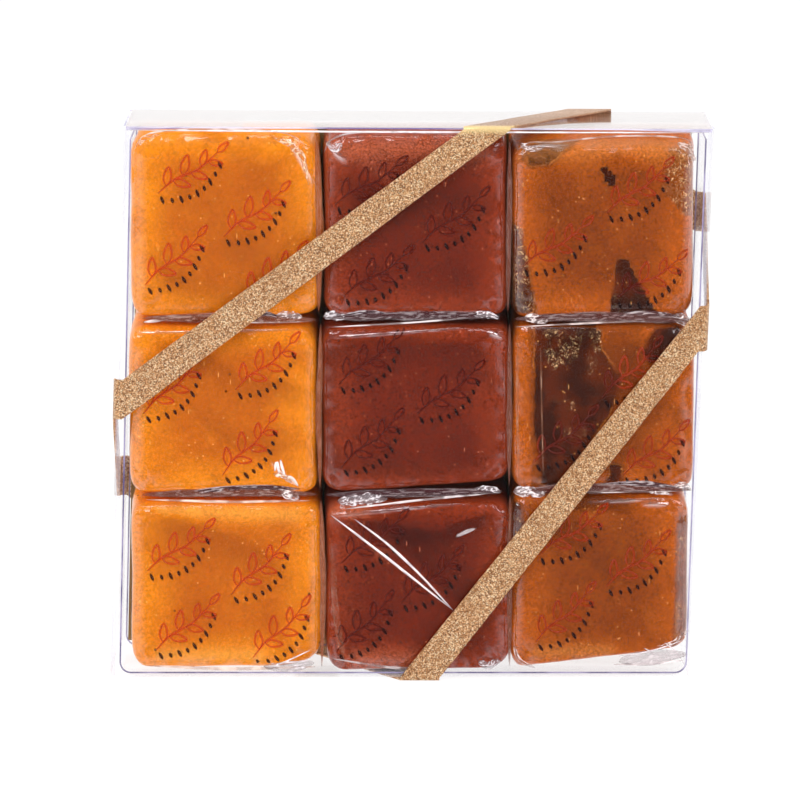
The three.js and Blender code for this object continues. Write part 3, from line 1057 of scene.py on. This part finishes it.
def makeCandy(name):
    candy = nodeCopy(f"caramel_{name}", f"candy_{name}")
    finished(candy, "REMESH", mode="VOXEL", voxel_size=candyShape["voxel"] * mm)
    finished(candy, "SMOOTH", factor=0.5, iterations=candyShape["soften"])
    seed = Vector((3.1, 1.7, 5.9)) * (1 + list(caramels).index(name))
    left, right, below, above = caramels[name]["swell"]

    def waving(key, p):
        height, often = candyShape[key]
        return height * noise.noise(p * often + seed)

    def uneven(p):
        s = within(name, p)
        front = 1 - ramp01(s.y, 0.1, 0.6)
        deep = waving("wave", p) + waving("ripple", p)
        side = waving("edgeWave", Vector((p.x, p.z, 3)))
        wide = right * s.x - left * (1 - s.x) + side * (2 * s.x - 1)
        tall = above * s.z - below * (1 - s.z) + side * (2 * s.z - 1)
        return (wide * front, deep - candyShape["sink"], tall * front)
    moved(candy, uneven)
    allSmooth(candy)
    addShares(candy, name)
    kind = name.split("_")[0]
    return dressed(candy, [candyFinishes[kind]], f"{kind}_caramel", f"caramel_{name}")


film = {
    "gap": 0.12,            # from the caramel to its film
    "cuts": 23,
    "faceCuts": 3,          # between those, on the face
    "soften": 3,
    "corner": 8.0,          # reach of the crinkles from a corner of the face
    "crinkle": 0.22,        # their height
    "fineCrinkle": 0.16,
    "edge": 3.0,            # reach of the small waves from an edge
    "edgeWave": 0.10,
    "wave": 0.10,           # slow waves all over the face
    "cornerShine": 0.25,
    "edgeShine": 0.2,
    "range": (-0.1, 0.42),  # how far the film goes in and out at most
    "behind": 0.35,         # how much of all this the sides and the back have
    # how many crinkles and small waves there are for each mm sideways, deep and up
    "crinkleRate": (0.45, 0.2, 0.45),
    "edgeRate": (0.25, 1, 0.25),
}


def makeFilm(name, candy):
    low, high = cells[name]
    size = high - low + Vector((1, 1, 1))
    wrap = block(f"film_{name}", size, (low + high) / 2)
    pick(wrap, "FACE", lambda f: True)
    bpy.ops.mesh.subdivide(number_cuts=film["cuts"])
    done(wrap)
    pick(wrap, "FACE", lambda f: f.normal.y < -0.9)
    bpy.ops.mesh.subdivide(number_cuts=film["faceCuts"])
    done(wrap)
    finished(wrap, "SHRINKWRAP", target=candy, wrap_method="NEAREST_SURFACEPOINT",
             wrap_mode="OUTSIDE_SURFACE", offset=film["gap"] * mm)
    finished(wrap, "SMOOTH", factor=0.5, iterations=film["soften"])
    seed = Vector((7.3, 2.9, 4.7)) * (1 + list(caramels).index(name))
    width, height = high.x - low.x, high.z - low.z
    left, right = caramels[name].get("haze", (0.0, 0.0))

    def crinkle(p):
        # how far the film rises there, and how much it shines
        s = within(name, p)
        toEdge = Vector((min(s.x, 1 - s.x) * width, min(s.z, 1 - s.z) * height))
        corner = 1 - ramp01(toEdge.length, 1.5, film["corner"])
        edge = 1 - ramp01(min(toEdge), 0.5, film["edge"])
        swirl, wave = (Vector([c * rate for c, rate in zip(p, film[key])]) + seed
                       for key in ("crinkleRate", "edgeRate"))
        haze = max(left * (1 - ramp01(s.x, 0.03, 0.09)), right * ramp01(s.x, 0.92, 0.97))
        shine = max(film["cornerShine"] * corner * ramp01(ridged(swirl), 0.6, 0.95),
                    film["edgeShine"] * edge * ramp01(ridged(swirl * 0.6), 0.2, 1),
                    haze * (0.6 + 0.4 * ridged(swirl * 0.8)))
        rise = film["wave"] * (noise.noise(p * 0.12 + seed) + 0.6 * (ridged(swirl * 0.5) - 0.5))
        rise += film["crinkle"] * corner * (ridged(swirl) - 0.55)
        rise += film["fineCrinkle"] * corner * (ridged(swirl * 2.3) - 0.5)
        rise += film["edgeWave"] * edge * (ridged(wave) - 0.5)
        for start, end, wide, tall in caramels[name]["creases"]:
            a, b, q = Vector(start), Vector(end), Vector((s.x, s.z))
            t = min(max((q - a).dot(b - a) / (b - a).length_squared, 0), 1)
            off = q - (a + (b - a) * t)
            away = math.hypot(off.x * width, off.y * height)
            ridge = math.exp(-(away / wide) ** 2) * math.sin(math.pi * (0.12 + 0.8 * t))
            rise += tall * ridge
            shine = max(shine, ridge)
        return rise, shine

    normals = [vertex.normal.copy() for vertex in wrap.data.vertices]
    least, most = film["range"]
    for vertex, normal, mark in zip(wrap.data.vertices, normals, *marks(wrap, "fold")):
        share = 1 if normal.y < -0.35 else film["behind"]
        rise, shine = crinkle(vertex.co / mm)
        mark.value = shine * share
        vertex.co += normal * min(max(rise * share, least), most) * mm
    wrap.data.update()
    allSmooth(wrap)
    return dressed(wrap, [filmFinish], None, clear=True)


wraps = {name: makeFilm(name, makeCandy(name)) for name in caramels}
print("caramels ready")


# Pleats and crumpled knots of film in the gaps between the caramels, with painted highlights and
# painted shade. Each is a path of points (x, z) with half its width, how much it crumples, and from
# 0 to 1 how much of it is painted as a white highlight, how much as dark shade, how orange that
# painted shade is and how much of a milky white veil lies over it.
folds = [
    # gap between the upper and the middle row: painted shade and painted highlights
    ([(-49, 67.9), (-33, 68.0), (-17, 67.6)], 0.95, 0.25, 0.22, 0.8, 0.45, 0),
    ([(-48.9, 67.2), (-46, 67.6), (-42, 68.5)], 0.3, 0.1, 0.9, 0.2, 0.2, 0),
    ([(-30, 69.0), (-27, 68.9), (-23.4, 68.0)], 0.55, 0.15, 0.5, 0.8, 0, 0),
    ([(-24.4, 68.6), (-22, 68.4), (-19.6, 68.0)], 0.95, 0.7, 1, 0.4, 0.2, 0.25),
    ([(-31, 67.1), (-24, 67.2), (-17.6, 67.4)], 0.16, 0.05, 0.9, 0, 0.3, 0),
    ([(-15.4, 68.0), (1, 68.4), (17, 68.4)], 0.9, 0.25, 0.22, 0.9, 0.05, 0),
    ([(-15.8, 68.2), (-13.5, 68.4), (-11.6, 68.0)], 0.95, 0.7, 1, 0.4, 0, 0.25),
    ([(-12, 68.5), (-7.5, 68.9), (-3, 68.4)], 0.6, 0.15, 0.6, 0.9, 0, 0),
    ([(-15.5, 66.2), (0, 67.1), (13.2, 68.2)], 0.17, 0.05, 0.85, 0, 0.1, 0),
    ([(11.8, 68.5), (14, 68.6), (16.6, 67.9)], 0.7, 0.6, 1, 0.4, 0, 0.25),
    ([(19.3, 67.8), (35, 68.2), (51.6, 67.4)], 0.95, 0.25, 0.2, 0.9, 0.15, 0),
    ([(37, 68.2), (44, 68.9), (51.6, 67.6)], 0.55, 0.15, 0.55, 0.9, 0.1, 0),
    ([(21.2, 68.1), (23.4, 67.8), (25.6, 67.4)], 0.9, 0.6, 1, 0.3, 0.2, 0.25),
    ([(19.5, 66.3), (33, 67.0), (50, 67.7)], 0.17, 0.05, 0.85, 0, 0.3, 0),
    ([(48.8, 68.6), (51, 67.4), (53.2, 65.9)], 1.1, 0.8, 1, 0.2, 0.2, 0.25),
    # gap between the middle and the lower row: painted shade and painted highlights
    ([(-49.4, 34.9), (-33, 35.4), (-17, 35.0)], 0.95, 0.25, 0.2, 0.8, 0.35, 0),
    ([(-43, 34.9), (-31, 36.2), (-20, 36.0)], 0.7, 0.15, 0.5, 0.9, 0.05, 0),
    ([(-24, 35.6), (-22.2, 35.0), (-20.2, 34.2)], 0.9, 0.6, 1, 0.3, 0.2, 0.25),
    ([(-48.6, 34.0), (-33, 33.6), (-18.2, 33.8)], 0.24, 0.08, 0.9, 0, 0.6, 0),
    ([(-25.2, 38.9), (-23.6, 38.6), (-21.6, 37.2)], 0.55, 0.6, 1, 0.1, 0.6, 0.25),
    ([(-15.6, 34.9), (1, 35.2), (17.4, 35.6)], 0.9, 0.25, 0.2, 0.85, 0.05, 0),
    ([(-13.2, 33.6), (-9, 34.2), (-4, 34.2)], 1.3, 0.9, 1, 0.4, 0, 0.25),
    ([(-5, 34.8), (-2, 35.2), (1, 34.9)], 0.6, 0.15, 0.6, 0.9, 0, 0),
    ([(-12, 32.2), (3, 34.0), (17, 35.4)], 0.22, 0.06, 0.9, 0, 0.1, 0),
    ([(12.0, 36.0), (14.5, 36.0), (17, 35.4)], 0.7, 0.6, 1, 0.4, 0, 0.25),
    ([(19.2, 35.6), (35, 36.2), (51.8, 35.9)], 0.95, 0.25, 0.2, 0.9, 0.2, 0),
    ([(19.3, 35.4), (22, 35.6), (25.2, 34.8)], 1.1, 0.8, 1, 0.5, 0.1, 0.25),
    ([(35, 36.9), (43, 37.0), (50.4, 36.2)], 0.55, 0.15, 0.5, 0.9, 0.05, 0),
    ([(44.4, 35.3), (46.6, 35.4), (48.8, 35.0)], 0.5, 0.5, 1, 0.2, 0.2, 0.25),
    ([(33, 35.2), (41, 35.5), (50, 35.6)], 0.15, 0.04, 0.85, 0, 0.2, 0),
    ([(48.8, 36.5), (50.6, 36.6), (52.2, 35.8)], 0.7, 0.6, 1, 0.4, 0.2, 0.25),
    # upper edge: painted highlights
    ([(-50.2, 99.2), (-48.5, 101.6), (-44, 102.6), (-33, 102.9), (-23, 102.2), (-18.4, 99.6)],
     0.17, 0.06, 0.8, 0, 0.3, 0),
    ([(-49.8, 99.6), (-48.6, 101.2), (-45.6, 101.9)], 0.5, 0.4, 0.8, 0.0, 0.9, 0.1),
    ([(-25, 101.4), (-21.6, 100.0), (-19.4, 97.2), (-18.4, 92.5)], 0.6, 0.5, 1, 0.0, 0.9, 0.12),
    ([(-15.6, 98.6), (-14.2, 100.9), (-10, 102.2), (0, 102.3), (9, 101.8)],
     0.17, 0.06, 0.75, 0, 0.1, 0),
    ([(-15.2, 100.6), (-13.6, 99.4), (-12.2, 100.2)], 0.8, 0.6, 0.9, 0.2, 0, 0.25),
    ([(19.8, 99.0), (22, 100.4), (27, 100.5), (38, 101.6), (50, 101.2), (52, 98.6)],
     0.16, 0.06, 0.7, 0, 0.3, 0),
    ([(20.2, 100.2), (22.4, 99.2), (25.0, 99.8)], 0.7, 0.6, 0.9, 0.2, 0.2, 0.25),
    ([(49, 100.4), (50.8, 99.4), (52.4, 97.0)], 0.7, 0.5, 0.8, 0.1, 0.4, 0.25),
    # lower edge: painted highlights and a milky veil
    ([(-27.0, 2.5), (-22, 2.4), (-17.6, 3.2)], 1.0, 0.2, 0.95, 0.0, 0.0, 0.4),
    ([(-49, 2.6), (-33, 2.0), (-17.4, 2.4)], 0.3, 0.12, 0.9, 0.1, 0.5, 0),
    ([(-14.6, 4.0), (-3, 2.2), (6, 2.2)], 0.25, 0.1, 0.6, 0.3, 0.1, 0),
    ([(12.8, 3.4), (15, 2.6), (17, 3.8)], 0.8, 0.7, 0.9, 0.3, 0, 0.25),
    ([(19.4, 6.4), (20.6, 3.6), (23.4, 2.2)], 0.4, 0.2, 0.9, 0.2, 0.2, 0),
    ([(39, 3.4), (45, 4.2), (51.6, 4.8)], 1.5, 0.3, 0.7, 0.0, 0.05, 0.5),
    ([(38, 2.8), (44, 3.0), (51, 3.6)], 0.25, 0.1, 1, 0.1, 0.1, 0),
    ([(46, 6.2), (49, 7.0), (52, 9.4)], 0.4, 0.4, 0.9, 0.1, 0.3, 0),
    ([(39, 4.4), (45, 5.4), (50.8, 7.4)], 0.12, 0.02, 1, 0, 0, 0),
    ([(41, 2.9), (46, 3.6), (51.4, 4.8)], 0.12, 0.02, 1, 0, 0, 0),
    ([(43.6, 6.0), (45.4, 4.8), (46.6, 2.8)], 0.12, 0.02, 0.9, 0, 0, 0),
    ([(47.4, 7.0), (49.4, 5.4), (51.2, 2.8)], 0.12, 0.02, 0.9, 0, 0, 0),
    ([(-26.4, 2.0), (-22.4, 3.6), (-18.2, 5.6)], 0.12, 0.02, 1, 0, 0, 0),
    ([(-22.6, 1.8), (-20.4, 2.6), (-18.2, 4.2)], 0.12, 0.02, 0.9, 0, 0, 0),
    # bright little folds on the faces: painted highlights
    ([(-24.8, 39.2), (-24.4, 40.9), (-23.9, 38.6)], 0.3, 0.02, 1, 0, 0.15, 0),
    ([(-23.8, 41.6), (-23.4, 39.9), (-22.8, 38.2)], 0.24, 0.02, 1, 0, 0.15, 0),
    ([(-22.6, 38.4), (-21.6, 38.0), (-20.4, 36.4)], 0.3, 0.1, 0.9, 0, 0.2, 0),
    # painted highlights on creases of the lower middle piece
    ([(-14.6, 31.2), (-8.1, 26.2), (0.2, 19.6), (8.1, 13.2)], 0.22, 0.02, 1.0, 0.0, 0.0, 0),
    ([(-10.2, 30.4), (-4.2, 25.8), (2.0, 19.9), (8.3, 13.0)], 0.22, 0.02, 1.0, 0.0, 0.0, 0),
    ([(8.6, 27.0), (10.4, 27.9), (12.4, 28.6)], 0.42, 0.05, 0.6, 0.0, 0.1, 0.6),
    ([(-14.4, 26), (-13.4, 12), (-12.0, 3.2)], 0.7, 0.05, 0.25, 0.0, 0.8, 0.1),
    ([(24.2, 62.5), (24.5, 50), (24.8, 38.5)], 0.14, 0.05, 0.4, 0.0, 0.9, 0),
    ([(20.0, 63.5), (19.9, 50), (20.4, 38)], 0.25, 0.05, 0.35, 0.0, 0.9, 0),
    # painted shade in the upright gaps between the columns
    ([(-16.6, 69), (-16.4, 85), (-16.9, 102)], 0.8, 0.2, 0.08, 0.8, 0.9, 0),
    ([(-16.4, 36), (-16.6, 51), (-16.2, 67)], 0.6, 0.2, 0.08, 0.8, 0.7, 0),
    ([(-16.2, 2.5), (-15.9, 18), (-16.3, 34)], 0.6, 0.2, 0.08, 0.8, 0.75, 0),
    ([(18.2, 69), (18.3, 85), (18.4, 101)], 0.55, 0.2, 0.08, 0.85, 0.35, 0),
    ([(18.5, 36.5), (18.5, 51), (18.5, 67)], 0.55, 0.2, 0.08, 0.85, 0.4, 0),
    ([(18.7, 2.5), (18.6, 18), (18.7, 35)], 0.55, 0.2, 0.08, 0.85, 0.45, 0),
    # painted highlight: a bright line under the lid's front edge
    ([(-52.0, 102.7), (0, 102.35), (54.8, 102.2)], 0.18, 0.02, 1, 0, 0, 0),
]


def foldedFilmPaintedLight():
    fold = Finish("foldedFilmPaintedLight")
    glint, shade, warm = (fold.attribute(key) for key in ("glint", "shade", "warm"))
    # painted shade in dark plum or orange-brown and painted highlights in white, both glowing
    # faintly
    tone = fold.mix(colour(52, 20, 30), colour(150, 72, 22), warm)
    tone = fold.mix(tone, fold.mix(colour(255, 244, 248), colour(255, 214, 176), warm), glint)
    skin = fold.surface(Base_Color=tone, Roughness=0.25,
                        Emission_Color=tone, Emission_Strength=0.25)
    return fold.end(fold.seeThrough(skin, glint.most(shade)))


def alongPath(points, share):
    # a point of a smooth curve through the given ones, and which way it runs there
    spans = len(points) - 1
    k = min(int(share * spans), spans - 1)
    t = share * spans - k
    a, b = Vector(points[k]), Vector(points[k + 1])
    before = Vector(points[k - 1]) if k else a * 2 - b
    after = Vector(points[k + 2]) if k + 2 < len(points) else b * 2 - a
    at = 0.5 * (2 * a + (b - before) * t + (2 * before - 5 * a + 4 * b - after) * t ** 2
                + (3 * a - before - 3 * b + after) * t ** 3)
    run = 0.5 * ((b - before) + 2 * (2 * before - 5 * a + 4 * b - after) * t
                 + 3 * (3 * a - before - 3 * b + after) * t ** 2)
    return at, run.normalized()


def pathStrip(name, points, step, rows):
    # a flat grid, cut as its path's length asks, its own x and y still from -1 to 1
    length = sum((Vector(a) - Vector(b)).length for a, b in zip(points, points[1:]))
    return sheetPlane(name, (2, 2), (0, 0, 0), cuts=(max(4, round(length / step)), rows))


def acrossPath(points, share, reach):
    # a place beside the path
    at, run = alongPath(points, share)
    return at.x - run.y * reach, at.y + run.x * reach


pleat = {
    "step": 0.3,            # length of one face
    "lineHalf": 0.4,        # a pleat whose half width is below this is only a line
    "rows": (10, 3),        # faces across a pleat and across a line
    "knot": 0.35,           # a pleat that crumples more than this is a knot
    "rate": (0.16, 0.5),    # number of crumples for each mm of a pleat and of a knot
    "crest": (0.72, 0.5),   # from where on their crests are lit
    "unbroken": 0.03,       # a line that crumples less than this is lit without breaks
    "front": -13.0,
    "nearest": -13.6,       # the front panel is just before this
    "furthest": -12.2,
    "thickness": 0.04,
}


def makeFolds():
    strips = []
    for number, (points, half, crumple, bright, dark, warm, veil) in enumerate(folds):
        line, knot = half < pleat["lineHalf"], crumple > pleat["knot"]
        rate = pleat["rate"][knot]
        strip = pathStrip(f"fold_{number}", points, pleat["step"], pleat["rows"][line])
        glints, shades, warms = marks(strip, "glint", "shade", "warm")
        seed = Vector((1.7, 4.1, 2.3)) * (number + 1)
        for k, vertex in enumerate(strip.data.vertices):
            u, v = min(max((vertex.co.x / mm + 1) / 2, 0), 1), vertex.co.y / mm
            at = alongPath(points, u)[0]
            taper = max(math.sin(math.pi * u), 0.0) ** 0.5
            swirl = Vector((at.x * rate, v * half * (1.9 - 2 * rate), at.y * rate)) + seed
            wave = ridged(swirl) - 0.5
            fine = ridged(swirl * 2.7) - 0.5
            reach = half * taper * v * (1 + 0.35 * noise.noise(swirl * 1.3))
            reach += 0.35 * crumple * wave
            x, z = acrossPath(points, u, reach)
            out = 0.25 * (1 - v * v) * half + crumple * (0.5 * wave + 0.35 * fine)
            y = min(max(pleat["front"] - out, pleat["nearest"]), pleat["furthest"])
            vertex.co = Vector((x, y, z)) * mm
            # painted highlight: a line is lit along its length, now and then broken; a pleat at its
            # edges and crests
            if line:
                broken = ramp01(noise.noise(at.to_3d() * 0.35 + seed), -0.25, 0.15)
                glow = bright * (1 if crumple < pleat["unbroken"] else 0.45 + 0.55 * broken)
            else:
                edge = math.exp(-((abs(v) - 0.85) / 0.14) ** 2)
                edge *= ramp01(ridged(swirl * 0.5), 0.5, 0.9)
                crest = ramp01(ridged(swirl * 1.9), pleat["crest"][knot], 0.92)
                glow = bright * max(crest, edge)
            glow = max(glow, veil * (1 - v ** 4))
            cover = 1 - v ** 4 if bright else (1 - v * v) ** 2 * taper
            glints[k].value = glow * min(1, 0.3 + taper) * (0.85 + 0.3 * fine)
            shades[k].value = dark * cover * min(1, taper * 1.5)
            warms[k].value = warm
        strips.append(strip)
    whole = joined(strips, "film_folds")
    finished(whole, "SOLIDIFY", thickness=pleat["thickness"] * mm, offset=0)
    allSmooth(whole)
    dressed(whole, [foldedFilmPaintedLight()], None, clear=True)


makeFolds()
print("film folds ready")


# The film's print: a small sprig with leaves in red-orange over a bowed row of dark dots, all in mm
# from the foot of the sprig. Each film is cut and wrapped its own way.
sprig = {
    "stem": [(0, 0), (4, 0.7), (8.5, 0.2), (13.5, 1.1)],
    # foot on the stem, length, turn in degrees and half width
    "leaves": [
        (2.0, 0.4, 3.6, 52, 0.75), (3.6, 0.7, 3.4, -48, 0.7), (5.6, 0.6, 3.9, 46, 0.8),
        (7.2, 0.4, 3.3, -50, 0.7), (9.4, 0.3, 3.2, 44, 0.65), (11.0, 0.5, 2.7, -42, 0.55),
        (13.2, 1.1, 2.8, 12, 0.55),
    ],
    "line": 0.2,
    # dark dots: how many, their spacing, half width, two half lengths by turns, and their bow
    "dots": 9,
    "spacing": 1.55,
    "dotHalf": 0.3,
    "dotTall": (0.75, 0.5),
    "bow": (-3.6, 6, 0.06),
}
inks = {
    # colour over light and over dark caramel, and how much of the ink shows
    "red_ink": ((228, 70, 18), (112, 26, 14), 0.42),
    "dark_ink": ((50, 20, 16), (40, 14, 12), 0.6),
}
printing = {
    "step": 0.35,           # length of one face of a stroke
    "front": -20,           # where the ink starts on its way to the film, in y
    "reach": 9,             # how far it goes
    "lift": 0.05,           # from the film to the ink
    "furthest": -11.8,      # ink behind this has missed the face
    "thickness": 0.02,
    "kindDark": {"amber": 0, "cocoa": 1, "marbled": 0.35},
}
prints = {
    # places of the sprigs on each film: x, z and turn in degrees
    "amber_top": [(-48.5, 74, 38), (-34, 83, 34), (-46, 91, 30), (-30.5, 71.5, 36)],
    "amber_middle": [(-49, 50, 40), (-34.5, 38.5, 44), (-32, 54.5, 36)],
    "amber_bottom": [(-47, 5.5, 36), (-33, 16, 40), (-48.5, 20.5, 32), (-29, 4, 42)],
    "cocoa_top": [(-12, 72, 30), (2.5, 82, 34), (-13.5, 89, 28)],
    "cocoa_middle": [(-12.5, 40, 38), (1.5, 50, 33), (-13, 55.5, 35)],
    "cocoa_bottom": [(-13.5, 5, 42), (-1.5, 14.5, 37), (-12.5, 22, 33)],
    "marbled_top": [(20.8, 77.4, 30), (36.2, 87.4, 34), (38, 71.5, 28)],
    "marbled_middle": [(23, 41, 36), (35.5, 53, 40), (39.5, 38.5, 34)],
    "marbled_bottom": [(23.5, 7, 40), (36.5, 17.5, 36), (24, 23.5, 31)],
}


def stroke(points, half):
    strip = pathStrip("stroke", points, printing["step"], 1)

    def laid(p):
        u = min(max((p.x + 1) / 2, 0), 1)
        reach = half * p.y * (0.35 + 0.65 * math.sin(math.pi * u) ** 0.5)
        x, z = acrossPath(points, u, reach)
        return (x - p.x, -p.y, z)
    return moved(strip, laid)


def turned(foot, turn, u, v):
    # a place on the sprig, from its foot and turned by so many degrees
    a = math.radians(turn)
    return (foot[0] + u * math.cos(a) - v * math.sin(a),
            foot[1] + u * math.sin(a) + v * math.cos(a))


def leafLoop(x, z, length, turn, half):
    outline = [(0, 0), (0.3, 0.85), (0.65, 0.8), (1, 0), (0.65, -0.8), (0.3, -0.85), (0, 0)]
    return [turned((x, z), turn, u * length, v * half) for u, v in outline]


def dot(number):
    lowest, middle, curve = sprig["bow"]
    u = number * sprig["spacing"]
    v = lowest + curve * (u - middle) ** 2
    tall = sprig["dotTall"][number % 2]
    return stroke([(u, v - tall), (u + 0.1, v), (u + 0.2, v + tall)], sprig["dotHalf"])


def pressed(ink, name, x, z, turn):
    # a copy of the ink, laid on one film
    copy = copyOf(ink, "ink")
    shape = wraps[name].data
    places = [vertex.co for vertex in shape.vertices]
    surface = BVHTree.FromPolygons(places, [tuple(face.vertices) for face in shape.polygons])
    least = printing["kindDark"][name.split("_")[0]]
    for vertex, over in zip(copy.data.vertices, copy.data.attributes["over"].data):
        px, pz = turned((x, z), turn, vertex.co.x / mm, vertex.co.z / mm)
        before = Vector((px, printing["front"], pz))
        hit = surface.ray_cast(before * mm, Vector((0, 1, 0)), printing["reach"] * mm)[0]
        vertex.co = hit - Vector((0, printing["lift"], 0)) * mm if hit else Vector((0, 0, 0))
        # how dark the caramel is behind the ink
        over.value = max(least, marbleAt(name, before)[0])
    return copy


def inkFinish(name):
    light, dim, share = inks[name]
    ink = Finish(f"print_{name}")
    patchy = ink.noise(ink.place(), 1.2, 2).step(0.2, 0.5) * 0.35 + 0.65
    shown = ink.mix(colour(*light), colour(*dim), ink.attribute("over"))
    skin = ink.surface(Base_Color=shown, Roughness=0.5, Specular_IOR_Level=0.1)
    return ink.end(ink.seeThrough(skin, patchy * share))


def makePrint():
    strokes = [stroke(sprig["stem"], sprig["line"])]
    strokes += [stroke(leafLoop(*leaf), sprig["line"]) for leaf in sprig["leaves"]]
    dots = [dot(k) for k in range(sprig["dots"])]
    for ink in (joined(strokes, "red_ink"), joined(dots, "dark_ink")):
        marks(ink, "over")
        copies = [pressed(ink, name, *place) for name in prints for place in prints[name]]
        whole = joined(copies, f"print_{ink.name}")
        pick(whole, "VERT", lambda v: v.co.y > printing["furthest"] * mm)
        bpy.ops.mesh.delete(type="VERT")
        done(whole)
        finished(whole, "SOLIDIFY", thickness=printing["thickness"] * mm, offset=0)
        dressed(whole, [inkFinish(ink.name)], None)
        bpy.data.objects.remove(ink)


makePrint()
print("print ready")
